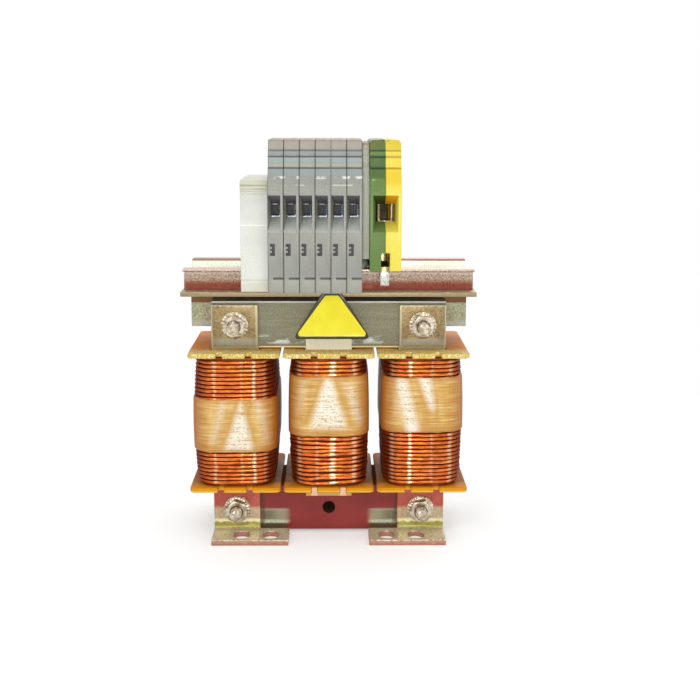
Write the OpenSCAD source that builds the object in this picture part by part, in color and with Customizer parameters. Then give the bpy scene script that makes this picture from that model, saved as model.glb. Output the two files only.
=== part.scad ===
// Three-phase line choke: a laminated three-leg core with three coils, and a terminal row on a rail
// above it. Millimetres, +Z up, the front faces -Y. The origin lies on the mounting surface, below
// the middle of the core.

/* [Core] */
// Width of the core
core_w = 80; // [76:1:90]
// Width of each leg of the core
leg_w = 16; // [14:0.5:17]
// Height of each yoke
yoke_h = 16; // [15:0.5:20]
// Height of the windows between the legs
window_h = 48; // [44:1:60]
// Depth of the stack of laminations
stack_d = 26; // [22:1:34]
// Air gap between the legs and the upper yoke
air_gap = 1; // [0.6:0.1:2]
// Height of the core above the mounting surface
core_lift = 1; // [0.6:0.1:1.6]

/* [Coils] */
// Diameter of the winding wire
wire_d = 0.94; // [0.8:0.02:1.0]
// Spacing of neighbouring turns
turn_pitch = 1.37; // [1.36:0.01:1.5]
// Width of a coil over its outer turns
winding_w = 27.2; // [26:0.2:29]
// Depth of a coil over its outer turns
winding_d = 44; // [42:0.5:60]
// Radius of the coil's corners, measured on the wire's centre line
winding_corner = 6; // [4:0.5:8]
// Wall of a bobbin's barrel
barrel_wall = 1.2; // [0.8:0.1:1.6]
// Thickness of a bobbin's flanges
flange_t = 1.7; // [1.2:0.1:2.2]
// Width of a bobbin's flanges
flange_w = 31; // [29.5:0.1:31.2]
// Depth of a bobbin's flanges
flange_d = 46; // [45:0.5:62]
// Thickness of the tape band round a coil
tape_t = 0.35; // [0.2:0.05:0.5]

/* [Fasteners] */
// Diameter of the bolts that clamp the core
bolt_d = 4; // [3:0.5:5]
// Width across flats of the nuts and bolt heads
nut_af = 7; // [6:0.5:8]
// Height of a nut
nut_h = 3.2; // [2.4:0.1:4]
// Height of a bolt head
bolt_head_h = 2.8; // [2:0.1:3.5]
// Diameter of a washer
washer_d = 9.4; // [8.4:0.1:10.5]
// Thickness of a washer
washer_t = 0.8; // [0.5:0.1:1.2]
// Length of bolt that stands out of a nut
bolt_end = 4.6; // [1:0.2:6]

/* [Feet and clamp plates] */
// Thickness of a foot's sheet metal
foot_t = 2; // [1.5:0.1:2.5]
// Width of a foot's plate
foot_w = 26.2; // [24:0.2:30]
// Depth of a foot's plate in front of its upright
foot_reach = 12.8; // [11:0.2:18]
// Width of a fixing slot
slot_w = 5.6; // [4.4:0.1:6]
// Length of a fixing slot
slot_l = 8; // [6:0.2:9]
// Distance of a foot's outer slot from the core's outer side
slot_edge = 10; // [8:0.5:11]
// Distance between the two slots of a foot
slot_pitch = 10; // [9:0.5:12]
// Height of a clamp plate
clamp_plate_h = 15; // [12:0.5:15.4]
// Thickness of a clamp plate
clamp_plate_t = 2; // [1.5:0.1:2.5]

/* [Rail and its carrier] */
// Length of the rail
rail_l = 98; // [90:1:140]
// Width of the rail over its lips
rail_w = 35; // [35:0.1:35.6]
// Height of the rail
rail_h = 7.5; // [7:0.5:8]
// Thickness of the rail's sheet metal
rail_t = 1; // [0.8:0.1:1.2]
// Length of the carrier
carrier_l = 99.4; // [92:0.2:142]
// Thickness of the carrier's sheet metal
carrier_t = 1.6; // [1.2:0.1:2]
// Clear height between the core and the carrier's shelf
shelf_gap = 2.4; // [1.6:0.1:6]
// Height of the carrier's upright below the shelf's underside
carrier_drop = 15.4; // [13:0.2:16]

/* [Terminals] */
// Spacing of the phase terminals
terminal_pitch = 5.2; // [5.2:0.1:5.4]
// Height of a terminal above the underside of the rail
terminal_h = 50.3; // [48:0.1:56]
// Length of a terminal from the front to the rear
terminal_l = 48; // [47:0.5:52]
// Wall that closes one side of a terminal
shell_wall = 0.9; // [0.7:0.1:1.0]
// Left edge of the first terminal, from the middle of the core
row_left = -20; // [-24:0.5:-16]
// Width of the end stop
stop_w = 9.2; // [8:0.1:10]
// Height of the end stop above the underside of the rail
stop_h = 37.2; // [34:0.2:40]
// Thickness of the end cover
cover_t = 2.3; // [1.5:0.1:2.5]
// Width of the earth terminal
earth_w = 10.4; // [10.2:0.1:12]

/* [Label] */
// Width of the label plate at its foot
label_w = 24.6; // [20:0.2:28]
// Width of the label plate at its top
label_top_w = 7.2; // [5:0.2:12]
// Thickness of the label plate
label_t = 0.6; // [0.4:0.1:1]

/* [Hidden] */

// Facets of round parts
$fn = 48;
// Extra length of a cut past the face that it opens
over = 0.5;
// Gap between pieces that are fixed face to face
seat = 0.05;

// Places along the core's height
leg_pitch = (core_w - leg_w) / 2;
leg_foot_z = core_lift + yoke_h;
leg_top_z = leg_foot_z + window_h;
upper_yoke_z = leg_top_z + air_gap;
core_top_z = upper_yoke_z + yoke_h;
core_front = stack_d / 2;
low_bolt_z = core_lift + yoke_h / 2;
top_bolt_z = upper_yoke_z + yoke_h / 2;
bolt_hole_clear = 0.25;
bolt_hole_r = bolt_d / 2 + bolt_hole_clear;
coil_x = [-leg_pitch, 0, leg_pitch];

// Bobbin
barrel_clear_x = 0.3;
strip_t = 1;
strip_clear = 0.2;
barrel_in_x = leg_w / 2 + barrel_clear_x;
barrel_in_y = core_front + strip_t + strip_clear * 2;
barrel_out_x = barrel_in_x + barrel_wall;
barrel_out_y = barrel_in_y + barrel_wall;
bobbin_clear_z = 0.2;
bobbin_z = leg_foot_z + bobbin_clear_z;
bobbin_top_z = upper_yoke_z - bobbin_clear_z * 2;
flange_corner = 2;
notch_w = 2.1;
notch_depth = 3.2;
notch_x = 4.9;

// Winding: the wire's centre line runs round a rounded rectangle, turn by turn
wire_r = wire_d / 2;
path_x = winding_w / 2 - wire_r;
path_y = winding_d / 2 - wire_r;
layer_gap = 0.12;
winding_end_gap = 0.35;
winding_z = bobbin_z + flange_t + winding_end_gap + wire_r;
winding_top_z = bobbin_top_z - flange_t - winding_end_gap - wire_r;
lower_turns = [8, 12, 13];
upper_turns = [10, 4, 4];
rings_per_loop = 12;
wire_sides = 6;
tape_seat = 0.1;
tape_margin = 0.3;

// Pressboard strip in front of the middle leg
strip_w = 15.6;
strip_up = 5;
strip_front_inset = 0.2;
strip_tab_w = notch_w - strip_clear;

// Feet, clamp plates and bolts
foot_bend_r = 1;
upright_gap = 0.5;
upright_top_z = leg_foot_z - upright_gap;
plate_drop = 0.5;
slot_back = 3.2;

// Carrier and rail
shelf_z = core_top_z + shelf_gap;
rail_z = shelf_z + carrier_t;
lip_top_z = rail_z + rail_h;
lip_low_z = lip_top_z - rail_t;
rail_channel_w = 27;
shelf_lead = 2;
shelf_front = rail_w / 2 + shelf_lead;
carrier_bend_r = 1;
rivet_d = 4;
rivet_clear = 0.1;
rivet_head_d = 7;
rivet_head_h = 1.1;
rivet_tail_d = 5.2;
rivet_tail_h = 1.2;
rivet_inset = 5.5;
rivet_x = min(rail_l, carrier_l) / 2 - rivet_inset;

// Terminal housings: half an outline as shares of the half length and the height
row_gap = 0.1;
lip_clear = 0.12;
hook_reach = 1.1;
hook_h = 1.3;
hook_chamfer = 0.5;
terminal_z = rail_z + lip_clear;
terminal_half = terminal_l / 2;
terminal_body_w = terminal_pitch - row_gap;
terminal_outline_shares = [
    [0.64, 1], [0.69, 0.962], [0.69, 0.936], [0.73, 0.936], [0.73, 0.896], [0.775, 0.896],
    [0.775, 0.823], [0.82, 0.823], [0.87, 0.770], [0.955, 0.735], [1, 0.655], [1, 0.02],
    [0.98, 0]];
marker_groove_w = 5;
marker_groove_h = 1.6;
middle_pocket_w = 13;
middle_pocket_z_shares = [0.23, 0.50];
cavity_w = terminal_body_w - shell_wall;

// Clamp of a phase terminal: places from the underside of the rail, widths across the row
clamp_x = cavity_w / 2;
clamp_inset = 10.8;
clamp_y = terminal_half - clamp_inset;
bar_up = 29.05;
bar_z = rail_z + bar_up;
bar_t = 1.2;
bar_w = 2.3;
bar_end = 0.4;
cage_w = 3.7;
cage_l = 7.6;
cage_side = 0.5;
cage_floor_t = 1;
cage_roof_t = 2.2;
cage_open = 3.7;
cage_over_bar = 2.1;
cage_travel = 3.4;
screw_r = 1.25;
screw_fit = 0.05;
head_r = 1.7;
head_h = 2.2;
head_slot_w = 0.5;
head_slot_h = 0.9;
web_t = 0.9;
web_clear = 0.15;
bore_clear = 0.15;
port_margin = 0.25;
entry_low_share = 0.405;
entry_top_share = 0.645;
port_side_w = 1.25;
vent_w = 1.6;
vent_side = 0.7;
vent_depth = 2.2;
vent_tab = 0.7;
vent_tab_t = 0.8;
vent_low_share = 0.251;
vent_top_share = 0.329;
line_side = 1.7;
line_depth = 0.9;
line_low_share = 0.093;
line_top_share = 0.107;

// Clamp of the earth terminal, which is about twice as wide
earth_wall = 1.05;
earth_cage_w = 5.2;
earth_cage_l = 8.4;
earth_cage_side = 0.8;
earth_cage_floor_t = 1.2;
earth_cage_roof_t = 2.8;
earth_cage_open = 5.2;
earth_cage_travel = 4.6;
earth_cage_over_bar = 2.6;
earth_screw_r = 1.75;
earth_head_r = 2.5;
earth_head_h = 2.6;
earth_head_slot_w = 0.8;
earth_bar_w = 3.2;
earth_bar_t = 1.6;
earth_port_margin = 0.45;
earth_foot_w = 2.9;
earth_foot_t = 0.9;
earth_foot_drop = 5.4;
earth_notch_h = 6;
earth_notch_depth = 3;
earth_round = 1.3;

// Row of the rail's pieces, from the left
terminals = 6;
cover_left = row_left + terminals * terminal_pitch;
earth_left = cover_left + cover_t + row_gap;
earth_mid = earth_left + earth_w / 2;
stop_left = row_left - stop_w - row_gap;
stop_half = 20;
stop_outline_shares = [
    [0.92, 1], [1, 0.967], [1, 0.925], [0.975, 0.92], [0.975, 0.885], [0.945, 0.87],
    [0.93, 0.80], [0.935, 0.73], [0.96, 0.67], [0.975, 0.51], [0.985, 0.50], [0.985, 0.09],
    [1, 0.08], [1, 0]];
cover_half_share = 0.93;
cover_low_share = 0.225;
cover_top_share = 0.978;

// Label plate
label_x = 1.1;
label_drop = 11.8;
label_low_z = core_top_z - label_drop;
label_high_z = rail_z - lip_clear;
label_corner = 0.9;
label_rim_w = 0.9;
label_rim_h = 0.12;

// Winding leads, behind the coils and up to the rear clamps
lead_sides = 6;
lead_bend = 1.6;
lead_round = 0.6;
lead_clear = 1.1;
lead_back = flange_d / 2 + lead_clear;
lead_spread_drop = 13;
lead_spread_rise = 2.4;
lead_spread_low_z = core_top_z - lead_spread_drop;
lead_spread_high_z = rail_z + lead_spread_rise;
lead_outside = terminal_half + lead_clear;
lead_end_inset = 2.2;

// Vectors
function unit(v) = v / norm(v);
function mid_cut(v, t) = v - (v * t) * t;

// Rounded rectangle of the wire's path, twelve points from the rear face's right end, anticlockwise
function path_points(hx, hy, r) = [
    [hx - r, hy], [r - hx, hy],
    for (a = [135, 180]) [r - hx + r * cos(a), hy - r + r * sin(a)],
    for (a = [180, 225, 270]) [r - hx + r * cos(a), r - hy + r * sin(a)],
    for (a = [270, 315, 360]) [hx - r + r * cos(a), r - hy + r * sin(a)],
    [hx, hy - r], [hx - r + r * cos(45), hy - r + r * sin(45)]];

// The same outline, grown by d
function outline_points(d) = path_points(path_x + d, path_y + d, winding_corner + d);

// Share of a loop's length at each of its points
function run_to(p, i) = i == 0 ? 0 : run_to(p, i - 1) + norm(p[i] - p[i - 1]);
function loop_length(p) = run_to(p, len(p) - 1) + norm(p[0] - p[len(p) - 1]);

// Height of the wire after t turns: the lower group, one steep climb below the tape, the upper group
function wire_z(t, low, turns) =
    winding_z + turn_pitch * (min(t, low) + max(0, t - low - 1))
    + (winding_top_z - winding_z - turn_pitch * (turns - 1)) * min(1, max(0, t - low));

// The wire's path ends one straight side past its last whole turn
function winding_path(x, low, up) =
    let (p = path_points(path_x, path_y, winding_corner), total = loop_length(p), n = len(p),
         turns = low + up + 1 + run_to(p, 1) / total)
    [for (i = [0 : (low + up + 1) * n + 1])
        let (k = i % n, t = floor(i / n) + run_to(p, k) / total)
        [x + p[k][0], p[k][1], wire_z(t, low, turns)]];

// Least gap between parts of one tube, measured between points at least half a loop apart
function least_gap(p, skip) = min([for (i = [0 : len(p) - 1 - skip])
    min([for (j = [i + skip : min(len(p) - 1, i + 3 * skip)]) norm(p[i] - p[j])])]) - wire_d;

// Directions along a route, and side vectors carried along it without twist
function along(p) = [for (i = [0 : len(p) - 1])
    unit(p[min(i + 1, len(p) - 1)] - p[max(i - 1, 0)])];
function sides(t, first) = [
    for (i = 0, u = unit(mid_cut(first, t[0])); i < len(t);
         i = i + 1, u = i < len(t) ? unit(mid_cut(u, t[i])) : u) u];

// Solid tube along a route
module tube(p, r, n, first) {
    t = along(p);
    u = sides(t, first);
    points = [for (i = [0 : len(p) - 1], k = [0 : n - 1])
        p[i] + r * (cos(360 * k / n) * u[i] + sin(360 * k / n) * cross(t[i], u[i]))];
    last = (len(p) - 1) * n;
    polyhedron(points = points, faces = [
        for (k = [1 : n - 2]) [0, k + 1, k],
        for (k = [1 : n - 2]) [last, last + k, last + k + 1],
        for (i = [0 : len(p) - 2], k = [0 : n - 1])
            let (a = i * n + k, b = i * n + (k + 1) % n) each [[a, b, b + n], [a, b + n, a + n]]
    ]);
}

// Extrusions of outlines drawn in X and Z, and in Y and Z
module along_y(l) { rotate([90, 0, 0]) linear_extrude(height = l, center = true) children(); }
module along_x(x, l) { translate([x, 0, 0]) rotate([90, 0, 90]) linear_extrude(height = l) children(); }

// Round rod along Y, between two places
module rod_y(x, z, y1, y2, r) { translate([x, y2, z]) rotate([90, 0, 0]) cylinder(h = y2 - y1, r = r); }

module core_legs() {
    color("#8d8a80") difference() {
        along_y(stack_d) union() {
            translate([-core_w / 2, core_lift]) square([core_w, yoke_h]);
            for (x = coil_x) translate([x - leg_w / 2, core_lift]) square([leg_w, leg_top_z - core_lift]);
        }
        for (x = coil_x) rod_y(x, low_bolt_z, -core_front - over, core_front + over, bolt_hole_r);
    }
}

module upper_yoke() {
    color("#8f8c84") difference() {
        along_y(stack_d) translate([-core_w / 2, upper_yoke_z]) square([core_w, yoke_h]);
        for (x = [-leg_pitch, leg_pitch])
            rod_y(x, top_bolt_z, -core_front - over, core_front + over, bolt_hole_r);
    }
}

module air_gap_spacers() {
    color("#d9cfae") for (x = coil_x)
        translate([x - leg_w / 2, -core_front, leg_top_z]) cube([leg_w, stack_d, air_gap]);
}

module rounded_plate(w, d, r) {
    hull() for (sx = [-1, 1], sy = [-1, 1])
        translate([sx * (w / 2 - r), sy * (d / 2 - r)]) circle(r = r, $fn = 32);
}

// Bobbin: a square barrel with two flanges, each with two notches at the front and two at the rear
module bobbin(x) {
    flange_z = [bobbin_z, bobbin_top_z - flange_t];
    color("#c9761f") translate([x, 0, 0]) difference() {
        union() {
            for (z = flange_z) translate([0, 0, z])
                linear_extrude(height = flange_t) rounded_plate(flange_w, flange_d, flange_corner);
            translate([-barrel_out_x, -barrel_out_y, bobbin_z])
                cube([2 * barrel_out_x, 2 * barrel_out_y, bobbin_top_z - bobbin_z]);
        }
        translate([-barrel_in_x, -barrel_in_y, bobbin_z - over])
            cube([2 * barrel_in_x, 2 * barrel_in_y, bobbin_top_z - bobbin_z + 2 * over]);
        for (sx = [-1, 1], sy = [-1, 1], z = flange_z)
            translate([sx * notch_x - notch_w / 2,
                       sy * (flange_d / 2 + over) - (sy > 0 ? notch_depth + over : 0), z - over])
                cube([notch_w, notch_depth + over, flange_t + 2 * over]);
    }
}

module bobbin_left() { bobbin(coil_x[0]); }
module bobbin_middle() { bobbin(coil_x[1]); }
module bobbin_right() { bobbin(coil_x[2]); }

// Inner layers of a coil, wound solid on the barrel
module inner_layers() {
    low = bobbin_z + flange_t + seat;
    high = bobbin_top_z - flange_t - seat;
    color("#8a3d12") for (x = coil_x) translate([x, 0, low]) linear_extrude(height = high - low)
        difference() {
            polygon(outline_points(-wire_r - layer_gap));
            square([2 * barrel_out_x + seat, 2 * barrel_out_y + seat], center = true);
        }
}

// Outer layer of a coil: one unbroken wire
module winding(i) {
    p = winding_path(coil_x[i], lower_turns[i], upper_turns[i]);
    echo(str("winding ", i + 1, " least gap to itself in mm: "), least_gap(p, rings_per_loop / 2));
    color("#b4561a") tube(p, wire_r, wire_sides, [0, 0, 1]);
}

module winding_left() { winding(0); }
module winding_middle() { winding(1); }
module winding_right() { winding(2); }

// Tape bands over the stretch between the two groups of turns
module winding_tapes() {
    color("#d8b36a") for (i = [0 : len(coil_x) - 1]) {
        low = winding_z + turn_pitch * lower_turns[i] + wire_r + tape_margin;
        high = winding_top_z - turn_pitch * upper_turns[i] - wire_r - tape_margin;
        translate([coil_x[i], 0, low]) linear_extrude(height = high - low) difference() {
            polygon(outline_points(wire_r + tape_seat + tape_t));
            polygon(outline_points(wire_r + tape_seat));
        }
    }
}

// Pressboard strip that wedges the middle bobbin on its leg. Below the lower flange it turns forward,
// and two tabs stand up from there into the flange's notches
module pressboard_strip() {
    low = bobbin_z - strip_clear / 2 - strip_t;
    back = -core_front - strip_clear;
    front = strip_front_inset - flange_d / 2;
    color("#efe6c4") translate([-strip_w / 2, 0, low]) {
        translate([0, back - strip_t, 0]) cube([strip_w, strip_t, upper_yoke_z + strip_up - low]);
        translate([0, front, 0]) cube([strip_w, back - front, strip_t]);
        for (sx = [-1, 1]) translate([strip_w / 2 + sx * notch_x - strip_tab_w / 2, front, 0])
            cube([strip_tab_w, strip_t, bobbin_z + flange_t - low]);
    }
}

// Foot: an upright bolted to the lower yoke and a slotted plate in front of it
module foot(sx, sy) {
    outer = core_w / 2;
    slot_y = core_front + foot_t + slot_back + slot_l / 2;
    color("#9c8f86") scale([sx, sy, 1]) difference() {
        union() {
            along_x(outer - leg_w, leg_w) difference() {
                union() {
                    translate([core_front, 0]) square([foot_t, upright_top_z]);
                    translate([core_front, 0]) square([foot_t + foot_reach, foot_t]);
                    translate([core_front + foot_t, foot_t]) square([foot_bend_r, foot_bend_r]);
                }
                translate([core_front + foot_t + foot_bend_r, foot_t + foot_bend_r])
                    circle(r = foot_bend_r);
                difference() {
                    translate([core_front - over, -over])
                        square([foot_t + foot_bend_r + over, foot_t + foot_bend_r + over]);
                    translate([core_front + foot_t + foot_bend_r, foot_t + foot_bend_r])
                        circle(r = foot_t + foot_bend_r);
                    translate([core_front + foot_t + foot_bend_r, -over])
                        square([foot_t, foot_t + over]);
                }
            }
            translate([outer - foot_w, core_front + foot_t + seat, 0])
                cube([foot_w - leg_w + seat, foot_reach - seat, foot_t]);
        }
        for (k = [0, 1]) translate([outer - slot_edge - k * slot_pitch, 0, 0]) {
            translate([-slot_w / 2, slot_y - (slot_l - slot_w) / 2, -over])
                cube([slot_w, slot_l - slot_w, foot_t + 2 * over]);
            for (e = [-1, 1]) translate([0, slot_y + e * (slot_l - slot_w) / 2, -over])
                cylinder(h = foot_t + 2 * over, r = slot_w / 2);
        }
        rod_y(leg_pitch, low_bolt_z, core_front - over, core_front + foot_t + over, bolt_hole_r);
    }
}

module foot_front_left() { foot(-1, -1); }
module foot_front_right() { foot(1, -1); }
module foot_rear_left() { foot(-1, 1); }
module foot_rear_right() { foot(1, 1); }

// Plates below the upper nuts, flush with the core's sides
module clamp_plates() {
    color("#9a8f7a") for (sx = [-1, 1]) difference() {
        translate([sx * leg_pitch - leg_w / 2, -core_front - clamp_plate_t,
                   top_bolt_z - clamp_plate_h / 2 - plate_drop])
            cube([leg_w, clamp_plate_t, clamp_plate_h]);
        rod_y(sx * leg_pitch, top_bolt_z, -core_front - clamp_plate_t - over, -core_front + over,
              bolt_hole_r);
    }
}

// Sheet metal below the front nut and the rear head of each bolt: [z, front, rear]
bolt_stacks = [
    [low_bolt_z, core_front + foot_t, core_front + foot_t],
    [top_bolt_z, core_front + clamp_plate_t, core_front + carrier_t]];

module tie_bolts() {
    color("#b9b4a6") for (sx = [-1, 1], s = bolt_stacks) {
        rear = s[2] + washer_t;
        rod_y(sx * leg_pitch, s[0], -s[1] - washer_t - nut_h - bolt_end, rear + over, bolt_d / 2);
        translate([sx * leg_pitch, rear + bolt_head_h, s[0]]) rotate([90, 0, 0])
            cylinder(h = bolt_head_h, r = nut_af / 2 / cos(30), $fn = 6);
    }
}

module tie_nuts() {
    color("#b5ab90") for (sx = [-1, 1], s = bolt_stacks) difference() {
        translate([sx * leg_pitch, -s[1] - washer_t, s[0]]) rotate([90, 0, 0])
            cylinder(h = nut_h, r = nut_af / 2 / cos(30), $fn = 6);
        rod_y(sx * leg_pitch, s[0], -s[1] - washer_t - nut_h - over, -s[1] - washer_t + over,
              bolt_d / 2 + seat);
    }
}

module tie_washers() {
    color("#c4bda6") for (sx = [-1, 1], s = bolt_stacks, y = [-s[1] - washer_t, s[2]]) difference() {
        rod_y(sx * leg_pitch, s[0], y, y + washer_t, washer_d / 2);
        rod_y(sx * leg_pitch, s[0], y - over, y + washer_t + over, bolt_d / 2 + seat);
    }
}

// Angle behind the upper yoke that carries the rail
module rail_carrier() {
    rear = core_front + carrier_t;
    bend = carrier_t + carrier_bend_r;
    color("#9d9a86") difference() {
        along_x(-carrier_l / 2, carrier_l) difference() {
            union() {
                translate([-shelf_front, shelf_z]) square([shelf_front + rear, carrier_t]);
                translate([core_front, shelf_z - carrier_drop])
                    square([carrier_t, carrier_drop + carrier_t]);
                translate([core_front - carrier_bend_r, shelf_z - carrier_bend_r])
                    square([carrier_bend_r, carrier_bend_r]);
            }
            translate([core_front - carrier_bend_r, shelf_z - carrier_bend_r])
                circle(r = carrier_bend_r);
            difference() {
                translate([rear - bend, rail_z - bend]) square([bend + over, bend + over]);
                translate([rear - bend, rail_z - bend]) circle(r = bend);
            }
        }
        for (sx = [-1, 1]) {
            rod_y(sx * leg_pitch, top_bolt_z, core_front - over, rear + over, bolt_hole_r);
            translate([sx * rivet_x, 0, shelf_z - over])
                cylinder(h = carrier_t + 2 * over, r = rivet_d / 2 + rivet_clear);
        }
    }
}

module top_hat_rail() {
    channel = rail_channel_w / 2;
    color("#c9c5b8") difference() {
        along_x(-rail_l / 2, rail_l) union() {
            translate([-channel, rail_z]) square([2 * channel, rail_t]);
            for (s = [-1, 1]) {
                translate([s > 0 ? channel - rail_t : -channel, rail_z]) square([rail_t, rail_h]);
                translate([s > 0 ? channel - rail_t : -rail_w / 2, lip_low_z])
                    square([rail_w / 2 - channel + rail_t, rail_t]);
            }
        }
        for (sx = [-1, 1]) translate([sx * rivet_x, 0, rail_z - over])
            cylinder(h = rail_t + 2 * over, r = rivet_d / 2 + rivet_clear);
    }
}

module rail_rivets() {
    color("#bdbab0") for (sx = [-1, 1]) translate([sx * rivet_x, 0, 0]) {
        translate([0, 0, shelf_z - rivet_tail_h])
            cylinder(h = rivet_tail_h, r = rivet_tail_d / 2);
        translate([0, 0, shelf_z - rivet_tail_h])
            cylinder(h = rivet_tail_h + carrier_t + rail_t + rivet_head_h, r = rivet_d / 2);
        translate([0, 0, rail_z + rail_t]) cylinder(h = rivet_head_h, r = rivet_head_d / 2);
    }
}

// Half of the hooks that hold a piece on the rail's lips, from the bottom up
function hook_points(low) = [
    [rail_w / 2 + lip_clear, low],
    [rail_w / 2 + lip_clear, lip_low_z - hook_h],
    [rail_w / 2 - hook_reach, lip_low_z - hook_h + hook_chamfer],
    [rail_w / 2 - hook_reach, lip_low_z - lip_clear],
    [rail_w / 2 + lip_clear, lip_low_z - lip_clear],
    [rail_w / 2 + lip_clear, lip_top_z + lip_clear]];

// Closed outline from its front half, mirrored to the rear
module both_ends(half) {
    n = len(half);
    polygon([for (p = half) [-p[0], p[1]], for (i = [n - 1 : -1 : 0]) half[i]]);
}

function scaled(shares, half, low, high) = [for (s = shares) [s[0] * half, low + s[1] * (high - low)]];

module stop_profile() {
    both_ends(concat(scaled(stop_outline_shares, stop_half, terminal_z, rail_z + stop_h),
                     hook_points(terminal_z)));
}

module end_stop() {
    color("#e9e6da") along_x(stop_left, stop_w) stop_profile();
}

module terminal_profile() {
    both_ends(concat(scaled(terminal_outline_shares, terminal_half, terminal_z, rail_z + terminal_h),
                     hook_points(terminal_z)));
}

// Heights of a clamp, from the bar that it presses the wire on
function cavity_low(open, floor_t) = bar_z - open - floor_t - port_margin;
function cavity_high(over_bar, roof_t, travel) = bar_z + bar_t + over_bar + roof_t + travel + port_margin;

phase_cavity_low = cavity_low(cage_open, cage_floor_t);
phase_cavity_high = cavity_high(cage_over_bar, cage_roof_t, cage_travel);
earth_cavity_low = cavity_low(earth_cage_open, earth_cage_floor_t);
earth_cavity_high = cavity_high(earth_cage_over_bar, earth_cage_roof_t, earth_cage_travel);

// Mouth where the wire goes in: wide at the face, narrow at the clamp
module entry(x, w, side_w, inner, low, high, port_low, port_high) {
    face_y = terminal_half;
    hull() {
        translate([x, face_y, low]) cube([w, over, high - low]);
        translate([x + side_w, inner, port_low]) cube([w - side_w, over, port_high - port_low]);
    }
}

// One phase terminal, open on its left side, where the next piece closes it
module terminal(i) {
    left = row_left + i * terminal_pitch;
    cage_half = cage_l / 2 + port_margin;
    inner = clamp_y + cage_half;
    z0 = terminal_z;
    h = rail_z + terminal_h - z0;
    color("#a6a69c") translate([left, 0, 0]) difference() {
        along_x(0, terminal_body_w) terminal_profile();
        translate([-over, -marker_groove_w / 2, z0 + h - marker_groove_h])
            cube([terminal_pitch + over, marker_groove_w, marker_groove_h + over]);
        translate([-over, -middle_pocket_w / 2, z0 + middle_pocket_z_shares[0] * h])
            cube([cavity_w + over, middle_pocket_w,
                  (middle_pocket_z_shares[1] - middle_pocket_z_shares[0]) * h]);
        translate([-over, -clamp_y, bar_z - seat])
            cube([clamp_x + bar_w / 2 + seat + over, 2 * clamp_y, bar_t + 2 * seat]);
        for (s = [-1, 1]) scale([1, s, 1]) {
            translate([-over, clamp_y - cage_half, phase_cavity_low])
                cube([cavity_w + over, 2 * cage_half, phase_cavity_high - phase_cavity_low]);
            entry(-seat, cavity_w + seat, port_side_w, inner - over, z0 + entry_low_share * h,
                  z0 + entry_top_share * h, bar_z - cage_open, bar_z);
            translate([clamp_x, clamp_y, phase_cavity_high - over])
                cylinder(h = web_t + 2 * over, r = screw_r + bore_clear);
            translate([clamp_x, clamp_y, phase_cavity_high + web_t])
                cylinder(h = terminal_h, r = head_r + bore_clear);
            vent(z0, h);
            translate([line_side, terminal_half - line_depth, z0 + line_low_share * h])
                cube([terminal_pitch, line_depth + over, (line_top_share - line_low_share) * h]);
        }
    }
}

// Small slot in the face with two tabs on its left
module vent(z0, h) {
    low = z0 + vent_low_share * h;
    high = z0 + vent_top_share * h;
    difference() {
        translate([vent_side, terminal_half - vent_depth, low])
            cube([vent_w, vent_depth + over, high - low]);
        for (k = [1, 2])
            translate([vent_side - over, terminal_half - vent_depth - over,
                       low + (high - low) * k / 3 - vent_tab_t / 2])
                cube([vent_tab + over, vent_depth + 2 * over, vent_tab_t]);
    }
}

module terminal_1() { terminal(0); }
module terminal_2() { terminal(1); }
module terminal_3() { terminal(2); }
module terminal_4() { terminal(3); }
module terminal_5() { terminal(4); }
module terminal_6() { terminal(5); }

// Plate that closes the row beside the last phase terminal
module end_cover() {
    low = terminal_z + cover_low_share * terminal_h;
    high = terminal_z + cover_top_share * terminal_h;
    color("#9b9b92") along_x(cover_left, cover_t) intersection() {
        scale([cover_half_share, 1]) terminal_profile();
        translate([-terminal_half, low]) square([terminal_l, high - low]);
    }
}

// One half of the earth terminal: side -1 is the left half, 1 the right one
module earth_half(side) {
    w = earth_w / 2 - seat / 2;
    z0 = lip_top_z + lip_clear;
    top = rail_z + terminal_h;
    h = top - terminal_z;
    cage_half = earth_cage_l / 2 + port_margin;
    inner = clamp_y + cage_half;
    entry_w = earth_w / 2 - earth_wall;
    port_w = earth_cage_w / 2 + earth_port_margin;
    translate([earth_mid, 0, 0]) scale([side, 1, 1]) difference() {
        intersection() {
            along_x(seat / 2, w) intersection() {
                both_ends(scaled(terminal_outline_shares, terminal_half, terminal_z, top));
                translate([-terminal_half, z0]) square([terminal_l, top - z0]);
            }
            along_y(terminal_l) hull() {
                translate([0, z0]) square([w + seat, earth_round]);
                translate([0, top - earth_round]) square([earth_round, earth_round]);
                translate([w + seat / 2 - earth_round, top - earth_round])
                    circle(r = earth_round, $fn = 32);
            }
        }
        translate([-over, -clamp_y, bar_z - seat])
            cube([earth_bar_w / 2 + seat + over, 2 * clamp_y, earth_bar_t + 2 * seat]);
        for (s = [-1, 1]) scale([1, s, 1]) {
            translate([-over, clamp_y - cage_half, earth_cavity_low])
                cube([entry_w + over, 2 * cage_half, earth_cavity_high - earth_cavity_low]);
            hull() {
                translate([0, terminal_half, terminal_z + entry_low_share * h])
                    cube([entry_w, over, (entry_top_share - entry_low_share) * h]);
                translate([0, inner - over, bar_z - earth_cage_open])
                    cube([port_w, over, earth_cage_open]);
            }
            translate([0, clamp_y, earth_cavity_high - over])
                cylinder(h = web_t + 2 * over, r = earth_screw_r + bore_clear);
            translate([0, clamp_y, earth_cavity_high + web_t])
                cylinder(h = terminal_h, r = earth_head_r + bore_clear);
            translate([-over, rail_w / 2 - earth_notch_depth, z0 - over])
                cube([earth_foot_w / 2 + seat + over, terminal_l, earth_notch_h + over]);
        }
        translate([-over, -rail_w / 2, z0 - over])
            cube([earth_foot_w / 2 + seat + over, rail_w, bar_z - z0 + over]);
    }
}

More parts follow.
